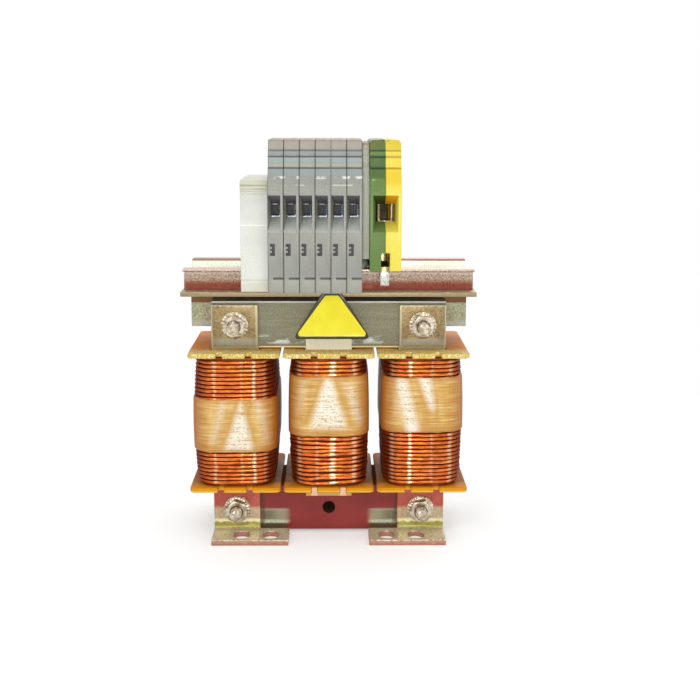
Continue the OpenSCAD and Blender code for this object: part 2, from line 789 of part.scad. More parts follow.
module earth_terminal_green() { color("#3f8f45") earth_half(-1); }
module earth_terminal_yellow() { color("#f2d72b") earth_half(1); }

// Earth bar between the two clamps, with a web down to the foot that grips the rail's lips
module earth_bar() {
    lip_seat = lip_top_z + seat;
    color("#c8c8c4") {
        translate([earth_mid - earth_bar_w / 2, -clamp_y - bar_end, bar_z])
            cube([earth_bar_w, 2 * (clamp_y + bar_end), earth_bar_t]);
        along_x(earth_mid - earth_foot_w / 2, earth_foot_w) union() {
            translate([-earth_foot_t, lip_seat]) square([2 * earth_foot_t, bar_z - lip_seat + earth_foot_t]);
            translate([-rail_w / 2 - seat, lip_seat]) square([rail_w + 2 * seat, earth_foot_t]);
            for (s = [-1, 1]) translate([s * (rail_w / 2 + seat + earth_foot_t / 2) - earth_foot_t / 2,
                                         lip_top_z - earth_foot_drop])
                square([earth_foot_t, earth_foot_drop + earth_foot_t + seat]);
        }
    }
}

module current_bars() {
    color("#b8b4a4") for (i = [0 : terminals - 1])
        translate([row_left + i * terminal_pitch + clamp_x - bar_w / 2, -clamp_y - cage_l / 2, bar_z])
            cube([bar_w, 2 * clamp_y + cage_l, bar_t]);
}

// Screw with a slotted head, standing on the bar. It turns in place and draws the cage up
module clamp_screw(x, s, r, hr, hh, slot, foot_z, web_z) {
    translate([x, s * clamp_y, 0]) difference() {
        union() {
            translate([0, 0, foot_z]) cylinder(h = web_z + web_t + web_clear - foot_z + over, r = r);
            translate([0, 0, web_z + web_t + web_clear]) cylinder(h = hh, r = hr);
        }
        translate([-hr - over, -slot / 2, web_z + web_t + web_clear + hh - head_slot_h])
            cube([2 * (hr + over), slot, head_slot_h + over]);
    }
}

// Cage that lifts the wire against the bar, lowered by drop from its highest place
module clamp_cage(x, s, w, l, side, floor_t, roof_t, open, over_bar, hole_r, lift) {
    low = bar_z - open - floor_t + lift;
    h = floor_t + open + bar_t + over_bar + roof_t;
    translate([x, s * clamp_y, 0]) difference() {
        translate([-w / 2, -l / 2, low]) cube([w, l, h]);
        translate([-w / 2 + side, -l / 2 - over, low + floor_t])
            cube([w - 2 * side, l + 2 * over, h - floor_t - roof_t]);
        translate([0, 0, low + h - roof_t - over]) cylinder(h = roof_t + 2 * over, r = hole_r);
    }
}

module phase_screw(i, s) {
    color("#b9bcc0") clamp_screw(row_left + i * terminal_pitch + clamp_x, s, screw_r, head_r, head_h,
                                 head_slot_w, bar_z + bar_t + seat, phase_cavity_high);
}

module phase_cage(i, s, lift) {
    color("#46506a") clamp_cage(row_left + i * terminal_pitch + clamp_x, s, cage_w, cage_l, cage_side,
                                cage_floor_t, cage_roof_t, cage_open, cage_over_bar,
                                screw_r + screw_fit, lift);
}

module earth_screw(s) {
    color("#c2c4c6") clamp_screw(earth_mid, s, earth_screw_r, earth_head_r, earth_head_h,
                                 earth_head_slot_w, bar_z + earth_bar_t + seat, earth_cavity_high);
}

module earth_cage(s) {
    color("#b4b8ba") clamp_cage(earth_mid, s, earth_cage_w, earth_cage_l, earth_cage_side,
                                earth_cage_floor_t, earth_cage_roof_t, earth_cage_open,
                                earth_cage_over_bar, earth_screw_r + screw_fit, 0);
}

module clamp_screw_1() { phase_screw(0, -1); }
module clamp_screw_2() { phase_screw(1, -1); }
module clamp_screw_3() { phase_screw(2, -1); }
module clamp_screw_4() { phase_screw(3, -1); }
module clamp_screw_5() { phase_screw(4, -1); }
module clamp_screw_6() { phase_screw(5, -1); }
module clamp_cage_1() { phase_cage(0, -1, 0); }
module clamp_cage_2() { phase_cage(1, -1, 0); }
module clamp_cage_3() { phase_cage(2, -1, 0); }
module clamp_cage_4() { phase_cage(3, -1, 0); }
module clamp_cage_5() { phase_cage(4, -1, 0); }
module clamp_cage_6() { phase_cage(5, -1, 0); }
module earth_screw_front() { earth_screw(-1); }
module earth_screw_rear() { earth_screw(1); }
module earth_cage_front() { earth_cage(-1); }
module earth_cage_rear() { earth_cage(1); }

// Rear clamps, tightened on the winding leads
lead_lift = cage_open - wire_d - 2 * seat;
module lead_clamp_screws() { for (i = [0 : terminals - 1]) phase_screw(i, 1); }
module lead_clamp_cages() { for (i = [0 : terminals - 1]) phase_cage(i, 1, lead_lift); }

// Blank label plate in front of the shelf's edge, with a low rim
module label_outline(inset) {
    hull() for (p = [[-label_w / 2, label_low_z], [label_w / 2, label_low_z],
                     [label_top_w / 2, label_high_z], [-label_top_w / 2, label_high_z]])
        translate([p[0] - sign(p[0]) * (label_corner + inset),
                   p[1] + (p[1] < label_high_z ? 1 : -1) * (label_corner + inset)])
            circle(r = label_corner, $fn = 32);
}

module label_plate() {
    y = -shelf_front - seat - label_t / 2;
    color("#f0dc1e") translate([label_x, y, 0]) {
        along_y(label_t) label_outline(0);
        translate([0, -label_t / 2, 0]) along_y(2 * label_rim_h) difference() {
            label_outline(0);
            label_outline(label_rim_w);
        }
    }
}

// Route of one lead: from the end of its coil's wire, behind the coils and the upper yoke, up behind
// the terminals and into the rear clamp
function lead_route(side, x, z, clamp) = [
    [x, path_y, z],
    [x + side * lead_bend, path_y, z],
    [x + side * 2 * lead_bend, path_y + lead_bend / 2, z],
    [x + side * 2 * lead_bend, lead_back - lead_round, z],
    [x + side * 2 * lead_bend, lead_back, z + lead_round],
    [x + side * 2 * lead_bend, lead_back, lead_spread_low_z],
    [(x + side * 2 * lead_bend + clamp) / 2, (lead_back + lead_outside) / 2,
     (lead_spread_low_z + lead_spread_high_z) / 2],
    [clamp, lead_outside, lead_spread_high_z],
    [clamp, lead_outside, bar_z - wire_r - seat - 3 * lead_bend],
    [clamp, lead_outside - lead_bend / 2, bar_z - wire_r - seat - lead_bend],
    [clamp, lead_outside - 2 * lead_bend, bar_z - wire_r - seat],
    [clamp, clamp_y - cage_l / 2 + lead_end_inset, bar_z - wire_r - seat]];

module lead_wires() {
    straight = path_x - winding_corner;
    color("#b4561a") for (i = [0 : terminals - 1]) {
        coil = floor(i / 2);
        start = i % 2 == 0;
        side = start ? -1 : 1;
        tube(lead_route(side, coil_x[coil] + side * straight, start ? winding_top_z : winding_z,
                        row_left + i * terminal_pitch + clamp_x),
             wire_r, lead_sides, [0, 0, 1]);
    }
}

core_legs();
upper_yoke();
air_gap_spacers();
bobbin_left();
bobbin_middle();
bobbin_right();
inner_layers();
winding_left();
winding_middle();
winding_right();
winding_tapes();
pressboard_strip();
foot_front_left();
foot_front_right();
foot_rear_left();
foot_rear_right();
clamp_plates();
tie_bolts();
tie_nuts();
tie_washers();
rail_carrier();
top_hat_rail();
rail_rivets();
end_stop();
terminal_1();
terminal_2();
terminal_3();
terminal_4();
terminal_5();
terminal_6();
end_cover();
earth_terminal_green();
earth_terminal_yellow();
earth_bar();
current_bars();
label_plate();
lead_wires();
clamp_screw_1();
clamp_screw_2();
clamp_screw_3();
clamp_screw_4();
clamp_screw_5();
clamp_screw_6();
clamp_cage_1();
clamp_cage_2();
clamp_cage_3();
clamp_cage_4();
clamp_cage_5();
clamp_cage_6();
earth_screw_front();
earth_screw_rear();
earth_cage_front();
earth_cage_rear();
lead_clamp_screws();
lead_clamp_cages();
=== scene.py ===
import math

import bmesh
import bpy
from mathutils import Matrix, Vector


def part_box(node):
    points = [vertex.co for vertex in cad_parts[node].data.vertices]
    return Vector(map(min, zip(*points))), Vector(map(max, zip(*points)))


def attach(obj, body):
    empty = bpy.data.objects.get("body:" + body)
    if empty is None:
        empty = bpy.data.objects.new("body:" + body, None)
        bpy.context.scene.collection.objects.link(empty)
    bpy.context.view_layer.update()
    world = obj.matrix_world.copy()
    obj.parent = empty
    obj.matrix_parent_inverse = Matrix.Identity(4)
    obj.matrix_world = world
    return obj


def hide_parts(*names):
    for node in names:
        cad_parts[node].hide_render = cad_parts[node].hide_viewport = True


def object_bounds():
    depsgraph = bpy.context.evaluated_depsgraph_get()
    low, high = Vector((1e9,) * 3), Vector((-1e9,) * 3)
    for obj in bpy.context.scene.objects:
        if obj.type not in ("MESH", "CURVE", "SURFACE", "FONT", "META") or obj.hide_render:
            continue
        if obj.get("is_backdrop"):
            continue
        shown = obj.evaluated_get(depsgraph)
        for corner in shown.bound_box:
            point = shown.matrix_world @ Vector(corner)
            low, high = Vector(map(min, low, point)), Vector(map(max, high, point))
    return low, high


# Line choke with a terminal row on a rail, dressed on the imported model. Sizes here are millimetres.
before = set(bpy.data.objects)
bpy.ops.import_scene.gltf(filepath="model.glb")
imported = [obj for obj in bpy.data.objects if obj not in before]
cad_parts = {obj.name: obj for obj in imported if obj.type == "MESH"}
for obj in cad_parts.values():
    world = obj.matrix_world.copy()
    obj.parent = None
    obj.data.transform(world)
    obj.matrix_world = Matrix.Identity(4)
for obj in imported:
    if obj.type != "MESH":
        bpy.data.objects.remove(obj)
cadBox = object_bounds()
mm = 0.001
scene = bpy.context.scene
root = "choke"
print("frame loaded:", len(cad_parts), "nodes")


# ---- small helpers for node trees ----
class Board:
    # the node tree that is being filled
    tree = None


def feed(socket, value):
    # a link from a node's first output or from a socket, or a plain value
    if isinstance(value, bpy.types.Node):
        value = value.outputs[0]
    if isinstance(value, bpy.types.NodeSocket):
        Board.tree.links.new(value, socket)
    else:
        socket.default_value = value


def put(kind, given=None, **settings):
    made = Board.tree.nodes.new(kind)
    for name, value in settings.items():
        setattr(made, name, value)
    for name, value in (given or {}).items():
        feed(made.inputs[name], value)
    return made


def calc(operation, *values, clamp=False):
    return put("ShaderNodeMath", dict(enumerate(values)), operation=operation, use_clamp=clamp)


def plus(first, second, clamp=False):
    return calc("ADD", first, second, clamp=clamp)


def minus(first, second):
    return calc("SUBTRACT", first, second)


def times(first, second):
    return calc("MULTIPLY", first, second)


def over(first, second, clamp=False):
    return calc("DIVIDE", first, second, clamp=clamp)


def absolute(value):
    return calc("ABSOLUTE", value)


def swing(noise, reach):
    # noise about its middle, reach wide
    return times(minus(noise, 0.5), reach)


def wholeOf(x=0.0, y=0.0, z=0.0):
    return put("ShaderNodeCombineXYZ", {0: x, 1: y, 2: z})


def partsOf(vector):
    return put("ShaderNodeSeparateXYZ", {0: vector}).outputs


def directRays():
    # 1 for what the camera sees itself, in a mirror or through glass
    seen = put("ShaderNodeLightPath").outputs
    return plus(plus(seen["Is Camera Ray"], seen["Is Glossy Ray"]), seen["Is Transmission Ray"], clamp=True)


def mixed(factor, first, second):
    first, second = [(*c, 1) if isinstance(c, tuple) else c for c in (first, second)]
    return put("ShaderNodeMix", {0: factor, 6: first, 7: second}, data_type="RGBA").outputs[2]


def tinted(colour, mask, share, tint):
    # a tint laid over a colour where the mask is 1, as far as share says
    return mixed(times(mask, share), colour, tint)


def speckled(colour, noise, low, high, share, tint):
    # a tint laid over a colour where the noise passes from low to high
    return mixed(stepped(noise, low, high, 0.0, share), colour, tint)


def between(value, low, high, soft):
    # 1 inside low..high, fading over soft, all in millimetres
    return times(stepped(value, (low - soft) * mm, (low + soft) * mm, smooth=True),
                 stepped(value, (high - soft) * mm, (high + soft) * mm, 1.0, 0.0, smooth=True))


def grain(place, size, stretch=(1, 1, 1), detail=3.0, rough=0.55):
    # noise whose blotches are about size millimetres wide
    mapped = put("ShaderNodeMapping", {"Vector": place, "Scale": stretch})
    return put("ShaderNodeTexNoise", {"Vector": mapped, "Scale": 1 / (size * mm), "Detail": detail,
                                      "Roughness": rough}).outputs["Fac"]


def stepped(value, low, high, toLow=0.0, toHigh=1.0, smooth=False):
    return put("ShaderNodeMapRange", {"Value": value, "From Min": low, "From Max": high, "To Min": toLow,
                                      "To Max": toHigh}, interpolation_type="SMOOTHSTEP" if smooth else "LINEAR")


def newFinish(name, **values):
    finish = bpy.data.materials.new(name)
    finish.use_nodes = True
    Board.tree = finish.node_tree
    shader = Board.tree.nodes["Principled BSDF"].inputs
    for socket, value in values.items():
        shader[socket.replace("_", " ")].default_value = value
    place = put("ShaderNodeTexCoord").outputs["Object"]
    return finish, shader, place, partsOf(place)


def reliefTo(shader, height, depth, strength=1.0):
    feed(shader["Normal"], put("ShaderNodeBump", {
        "Height": height, "Distance": depth * mm, "Strength": strength}))


# ---- finishes ----
def bandsOn(split, colour, bands, ragged=None):
    # tints between two heights (mm): low, high, softness, colour, share
    height = split[2]
    if ragged:
        height = plus(height, swing(ragged, 0.0012))
    for low, high, soft, tint, share in bands:
        band = times(between(height, low, high, soft), share)
        colour = mixed(band, colour, tint)
    return colour


def plasticFinish(name, look):
    finish, shader, place, split = newFinish(name, IOR=1.5, Specular_IOR_Level=look.get("gloss", 0.4))
    speck = grain(place, look["speck"], detail=4.0, rough=0.7)
    cloud = grain(place, look["cloud"], detail=2.0)
    colour = mixed(stepped(speck, 0.36, 0.64), look["dark"], look["light"])
    colour = speckled(colour, cloud, 0.35, 0.7, look["cloudShare"], look["stain"])
    colour = bandsOn(split, colour, look.get("bands", []))
    # glints are painted highlights, laid on the colour where the noise lets them through
    for low, high, soft, tint, share in look.get("glints", []):
        shine = stepped(grain(place, 3.0, detail=1.0), 0.5, 0.62, 0.0, share)
        colour = tinted(colour, between(split[2], low, high, soft), shine, tint)
    # painted shade: dark lines where the neighbouring housings meet, at the pitch of the row
    if "gapShades" in look:
        start, pitch, width = look["gapShades"]
        across = calc("FRACT", over(minus(split[0], start * mm), pitch * mm))
        edge = absolute(minus(across, 0.5))
        colour = mixed(stepped(edge, 0.5 - width / pitch, 0.5 - 0.3 * width / pitch, 0.0, 0.72), colour,
                       look["gapShadeColour"])
    feed(shader["Base Color"], colour)
    feed(shader["Roughness"], stepped(speck, 0.2, 0.8, look["rough"] - 0.07, look["rough"] + 0.1))
    reliefTo(shader, speck, look["relief"], 0.6)
    return finish


# terminal housing: the bands paint dark shade lines under the top's steps, lighter and bluish tints of light across
# the steps and a dark brown shade on the top edge; lower down the housing is darkened above the foot and lightened at
# it; the glints are painted highlights
greyPlastic = plasticFinish("greyPlastic", {
    "dark": (0.29, 0.295, 0.25), "light": (0.375, 0.38, 0.33), "stain": (0.34, 0.325, 0.27),
    "speck": 0.5, "cloud": 9, "cloudShare": 0.35, "rough": 0.42, "relief": 0.02,
    "gapShades": (-20.0, 5.2, 0.26), "gapShadeColour": (0.05, 0.05, 0.045),
    "bands": [(133.2, 140, 0.15, (0.42, 0.39, 0.31), 0.7), (135.75, 140, 0.15, (0.32, 0.2, 0.15), 0.4),
              (131.5, 132.8, 0.2, (0.3, 0.35, 0.36), 0.75), (132.55, 133.1, 0.08, (0.12, 0.12, 0.11), 0.8),
              (128.9, 130.8, 0.4, (0.34, 0.4, 0.4), 0.75), (130.6, 131.1, 0.08, (0.07, 0.07, 0.065), 0.9),
              (127.6, 128.6, 0.3, (0.5, 0.5, 0.4), 0.5), (124.9, 127.0, 0.5, (0.31, 0.37, 0.37), 0.8),
              (126.95, 127.4, 0.08, (0.08, 0.08, 0.07), 0.9), (91.6, 100, 2.0, (0.28, 0.28, 0.25), 0.5),
              (86, 91.0, 0.3, (0.38, 0.38, 0.31), 0.6)],
    "glints": [(123.8, 124.6, 0.15, (0.85, 0.88, 0.86), 0.9), (121.6, 122.0, 0.1, (0.8, 0.82, 0.8), 0.6)]})
# the end cover's dark brown top edge is painted shade
coverPlastic = plasticFinish("coverPlastic", {
    "dark": (0.39, 0.395, 0.315), "light": (0.5, 0.505, 0.41), "stain": (0.42, 0.4, 0.3),
    "speck": 0.4, "cloud": 8, "cloudShare": 0.3, "rough": 0.5, "relief": 0.03,
    "bands": [(134.5, 140, 0.2, (0.3, 0.16, 0.1), 0.6)]})
# dark plastic for the mouths' downward faces, vents, slots and clamp chambers: painted shade
recessShadePlastic = plasticFinish("recessShadePlastic", {
    "dark": (0.12, 0.113, 0.122), "light": (0.17, 0.16, 0.172), "stain": (0.15, 0.14, 0.15),
    "speck": 0.4, "cloud": 6, "cloudShare": 0.3, "rough": 0.5, "relief": 0.02})
# lighter copy of the housing plastic for the mouths' sloping floors: painted light
rampLitPlastic = plasticFinish("rampLitPlastic", {
    "dark": (0.42, 0.455, 0.425), "light": (0.58, 0.61, 0.56), "stain": (0.58, 0.58, 0.48),
    "speck": 0.5, "cloud": 9, "cloudShare": 0.3, "rough": 0.42, "relief": 0.02})
# end stop: the bands paint dark shade lines under its steps and a painted highlight across the front; the other bands
# lighten the face and make it creamier towards the foot
whitePlastic = plasticFinish("whitePlastic", {
    "dark": (0.72, 0.73, 0.66), "light": (0.8, 0.81, 0.74), "stain": (0.76, 0.74, 0.62),
    "speck": 0.6, "cloud": 12, "cloudShare": 0.4, "rough": 0.38, "relief": 0.015,
    "bands": [(119.6, 130, 0.3, (0.62, 0.6, 0.44), 0.7), (121.2, 121.8, 0.1, (0.3, 0.27, 0.17), 0.7),
              (119.2, 119.6, 0.08, (0.42, 0.4, 0.3), 0.6), (110.0, 117.5, 1.5, (0.66, 0.68, 0.63), 0.5),
              (108.1, 108.6, 0.1, (0.93, 0.93, 0.88), 0.7), (101.5, 104.5, 0.8, (0.68, 0.7, 0.65), 0.4),
              (89.9, 90.3, 0.1, (0.5, 0.48, 0.38), 0.6), (86, 89.0, 0.4, (0.66, 0.63, 0.48), 0.6)]})
# green half of the earth terminal: the dark lines and the darker stretch below the top's steps are painted shade, the
# glint is a painted highlight
greenPlastic = plasticFinish("greenPlastic", {
    "dark": (0.11, 0.195, 0.045), "light": (0.19, 0.285, 0.085), "stain": (0.11, 0.17, 0.06),
    "speck": 0.5, "cloud": 8, "cloudShare": 0.35, "rough": 0.36, "relief": 0.015, "gloss": 0.25,
    "bands": [(124.0, 131.0, 0.6, (0.07, 0.13, 0.035), 0.7), (133.3, 140, 0.2, (0.15, 0.16, 0.045), 0.7),
              (126.8, 127.4, 0.08, (0.015, 0.035, 0.01), 0.9), (130.4, 131.1, 0.1, (0.015, 0.035, 0.01), 0.9),
              (132.5, 133.1, 0.08, (0.02, 0.045, 0.01), 0.9)],
    "glints": [(123.2, 123.7, 0.1, (0.55, 0.65, 0.4), 0.8)]})
# very dark copy of the green for the green half's mouth and recesses: painted shade
greenRecessShade = plasticFinish("greenRecessShade", {
    "dark": (0.035, 0.055, 0.01), "light": (0.055, 0.08, 0.015), "stain": (0.05, 0.06, 0.01),
    "speck": 0.5, "cloud": 8, "cloudShare": 0.3, "rough": 0.45, "relief": 0.015, "gloss": 0.2})
# yellow half of the earth terminal: the dark lines below the top's steps and the deeper orange under them are painted
# shade
yellowPlastic = plasticFinish("yellowPlastic", {
    "dark": (0.86, 0.71, 0.085), "light": (0.92, 0.8, 0.14), "stain": (0.86, 0.62, 0.04),
    "speck": 0.6, "cloud": 9, "cloudShare": 0.35, "rough": 0.36, "relief": 0.015, "gloss": 0.25,
    "bands": [(122.0, 126.8, 1.2, (0.87, 0.6, 0.03), 0.7), (133.4, 140, 0.2, (0.72, 0.55, 0.04), 0.7),
              (126.8, 127.4, 0.08, (0.5, 0.3, 0.01), 0.9), (130.4, 131.1, 0.1, (0.55, 0.36, 0.02), 0.9),
              (132.5, 133.1, 0.08, (0.45, 0.33, 0.02), 0.9)]})
# deep orange copy of the yellow for the yellow half's mouth and recesses: painted shade
yellowRecessShade = plasticFinish("yellowRecessShade", {
    "dark": (0.74, 0.32, 0.004), "light": (0.86, 0.44, 0.01), "stain": (0.78, 0.35, 0.005),
    "speck": 0.5, "cloud": 8, "cloudShare": 0.3, "rough": 0.45, "relief": 0.015, "gloss": 0.2})


def sheetFinish(name, look):
    # zinc-plated sheet: bright and dark crystals, faint drawing lines, and bands by height that mostly paint
    # reflections, shade and highlights
    finish, shader, place, split = newFinish(name, Metallic=look["metallic"])
    mottle = grain(place, look["mottle"], detail=4.0, rough=0.65)
    lines = grain(place, 0.5, stretch=look["lines"], detail=2.0)
    spark = grain(place, 0.5, detail=2.0, rough=0.8)
    colour = mixed(stepped(mottle, 0.36, 0.66), look["dark"], look["light"])
    colour = speckled(colour, spark, 0.56, 0.64, look["spark"], look["sparkColour"])
    colour = speckled(colour, spark, 0.44, 0.36, look["spark"], look["pitColour"])
    colour = bandsOn(split, colour, look["bands"], mottle)
    # painted highlights along upright edges, mirrored left and right
    for left, right, tint, share in look.get("sides", []):
        line = between(absolute(split[0]), left, right, 0.1)
        colour = tinted(colour, line, share, tint)
    if "rear" in look:
        # the rail's rear wall is painted much lighter than the front, as lit, with a painted dark-red reflection on
        # the rear lip's top and darker lower down
        rear = mixed(stepped(spark, 0.4, 0.6), *look["rearPair"])
        rear = bandsOn(split, rear, look["rear"])
        # painted shadow where the terminals' rear parts shade the rear wall
        rear = mixed(between(split[0], *look["shadowSpan"], 0.3), rear, look["shadowColour"])
        colour = mixed(stepped(split[1], 0.0, 0.001), colour, rear)
    if "plain" in look:
        # away from the front the sheet shows its bare zinc, without the painted reflections and shade of the front
        start, *pair = look["plain"]
        bare = mixed(stepped(mottle, 0.36, 0.66), *pair)
        bare = speckled(bare, spark, 0.56, 0.64, 0.5 * look["spark"], look["sparkColour"])
        start = [start * mm, (start + 0.3) * mm]
        away = stepped(split[1], *start)
        if "rear" in look:
            away = times(away, stepped(split[1], 0.0, 0.001, 1.0, 0.0))
        colour = mixed(away, colour, bare)
    feed(shader["Base Color"], colour)
    feed(shader["Roughness"], stepped(mottle, 0.25, 0.75, look["rough"] - 0.1, look["rough"] + 0.12))
    reliefTo(shader, plus(mottle, times(lines, 0.6)), look["relief"], 0.5)
    return finish


# feet: the red bands on the upright and along the plate's edge are painted reflections and the light band on the
# plate's top is a painted highlight; the bands around the bend are chromate tints and painted reflections both
footZinc = sheetFinish("footZinc", {
    "dark": (0.44, 0.37, 0.2), "light": (0.84, 0.78, 0.56), "metallic": 0.45, "rough": 0.34,
    "mottle": 1.1, "lines": (0.15, 1, 1), "relief": 0.04, "spark": 0.9, "sparkColour": (1.0, 0.99, 0.92),
    "pitColour": (0.2, 0.14, 0.07),
    "bands": [(1.9, 2.3, 0.1, (0.9, 0.8, 0.6), 0.45), (5.5, 9.8, 0.5, (0.4, 0.25, 0.13), 0.65),
              (4.4, 5.4, 0.3, (0.82, 0.76, 0.42), 0.8), (2.35, 4.3, 0.35, (0.3, 0.26, 0.015), 0.9),
              (9.6, 30, 0.7, (0.4, 0.045, 0.03), 0.93), (-5, 1.75, 0.12, (0.48, 0.2, 0.14), 0.85),
              (0.3, 0.7, 0.15, (0.3, 0.1, 0.07), 0.5)]})
# clamp plates: the light bands along the top and bottom edges and the pale band above the bottom are painted
# highlights, like the light side edges
plateZinc = sheetFinish("plateZinc", {
    "dark": (0.2, 0.13, 0.05), "light": (0.34, 0.25, 0.105), "metallic": 0.5, "rough": 0.4,
    "mottle": 0.9, "lines": (1, 1, 0.15), "relief": 0.04, "spark": 0.5, "sparkColour": (0.55, 0.48, 0.27),
    "pitColour": (0.12, 0.065, 0.02),
    "sides": [(39.55, 41, (0.6, 0.56, 0.4), 0.7), (23, 24.9, (0.5, 0.46, 0.3), 0.6)],
    "bands": [(80.6, 82, 0.15, (0.62, 0.58, 0.42), 0.7), (65, 66.6, 0.2, (0.5, 0.48, 0.3), 0.7),
              (66.9, 69.4, 0.6, (0.36, 0.37, 0.3), 0.6)]})
# rail carrier: the dark brown band across the ears' upper part is painted shade; the lighter band makes the ears
# lighter towards the bottom
carrierZinc = sheetFinish("carrierZinc", {
    "dark": (0.29, 0.28, 0.165), "light": (0.54, 0.53, 0.34), "metallic": 0.5, "rough": 0.42,
    "mottle": 0.9, "lines": (0.15, 1, 1), "relief": 0.04, "spark": 0.6, "sparkColour": (0.8, 0.82, 0.7),
    "pitColour": (0.15, 0.12, 0.05), "plain": (14.5, (0.34, 0.33, 0.21), (0.56, 0.55, 0.4)),
    "bands": [(77.7, 84.2, 0.25, (0.17, 0.065, 0.012), 0.95), (69, 71.2, 0.6, (0.5, 0.5, 0.42), 0.6),
              (84.35, 86, 0.1, (0.3, 0.2, 0.1), 0.75)]})
# rail front: the red band low on the wall is a painted reflection, the dark line under the lip a painted shadow, and
# the light bands at the lip painted highlights
railZinc = sheetFinish("railZinc", {
    "dark": (0.36, 0.24, 0.165), "light": (0.62, 0.47, 0.34), "metallic": 0.5, "rough": 0.32,
    "mottle": 0.6, "lines": (0.12, 1, 1), "relief": 0.03, "spark": 0.95, "sparkColour": (0.9, 0.86, 0.74),
    "pitColour": (0.26, 0.12, 0.08), "rearPair": ((0.92, 0.93, 0.8), (0.82, 0.84, 0.68)),
    "plain": (-12.0, (0.4, 0.36, 0.29), (0.66, 0.61, 0.5)),
    "rear": [(92.9, 95, 0.1, (0.3, 0.07, 0.045), 0.9), (80, 89.7, 0.4, (0.42, 0.36, 0.26), 0.6)],
    "shadowSpan": (9.3, 14.2), "shadowColour": (0.03, 0.035, 0.02),
    "bands": [(80, 89.0, 1.1, (0.31, 0.05, 0.03), 0.88), (92.2, 92.75, 0.1, (0.25, 0.08, 0.05), 0.8),
              (93.0, 95, 0.1, (0.7, 0.5, 0.4), 0.5), (91.3, 92.1, 0.2, (0.8, 0.72, 0.6), 0.4)]})
fastenerZinc = sheetFinish("fastenerZinc", {
    "dark": (0.3, 0.2, 0.12), "light": (0.74, 0.68, 0.54), "metallic": 0.8, "rough": 0.25,
    "mottle": 1.6, "lines": (1, 1, 1), "relief": 0.02, "spark": 0.3, "sparkColour": (0.98, 0.97, 0.9),
    "pitColour": (0.2, 0.13, 0.07), "bands": []})
brightSteel = sheetFinish("brightSteel", {
    "dark": (0.45, 0.46, 0.47), "light": (0.78, 0.79, 0.8), "metallic": 0.9, "rough": 0.24,
    "mottle": 0.5, "lines": (1, 1, 0.2), "relief": 0.01, "spark": 0.4, "sparkColour": (0.95, 0.95, 0.95),
    "pitColour": (0.25, 0.22, 0.2), "bands": []})
# the light band low on the clamp cages is a painted glint
blueSteel = sheetFinish("blueSteel", {
    "dark": (0.02, 0.03, 0.045), "light": (0.08, 0.11, 0.14), "metallic": 0.7, "rough": 0.42,
    "mottle": 0.7, "lines": (1, 1, 0.2), "relief": 0.01, "spark": 0.3, "sparkColour": (0.4, 0.48, 0.55),
    "pitColour": (0.02, 0.025, 0.03), "bands": [(109, 111.6, 0.2, (0.6, 0.66, 0.7), 0.6)]})
earthSteel = sheetFinish("earthSteel", {
    "dark": (0.12, 0.09, 0.04), "light": (0.34, 0.29, 0.17), "metallic": 0.7, "rough": 0.36,
    "mottle": 0.7, "lines": (1, 1, 0.2), "relief": 0.01, "spark": 0.4, "sparkColour": (0.85, 0.8, 0.6),
    "pitColour": (0.1, 0.06, 0.02), "bands": []})
barLook = {
    "dark": (0.45, 0.44, 0.4), "light": (0.76, 0.75, 0.7), "metallic": 0.85, "rough": 0.3,
    "mottle": 0.6, "lines": (0.2, 1, 1), "relief": 0.02, "spark": 0.7, "sparkColour": (0.97, 0.97, 0.95),
    "pitColour": (0.25, 0.16, 0.1), "bands": []}
barMetal = sheetFinish("barMetal", barLook)
# the earth bar is painted darker and browner where it runs inside the housing: painted shade
earthMetal = sheetFinish("earthMetal", {**barLook, "bands": [(92.6, 120, 0.3, (0.22, 0.15, 0.03), 0.85)]})


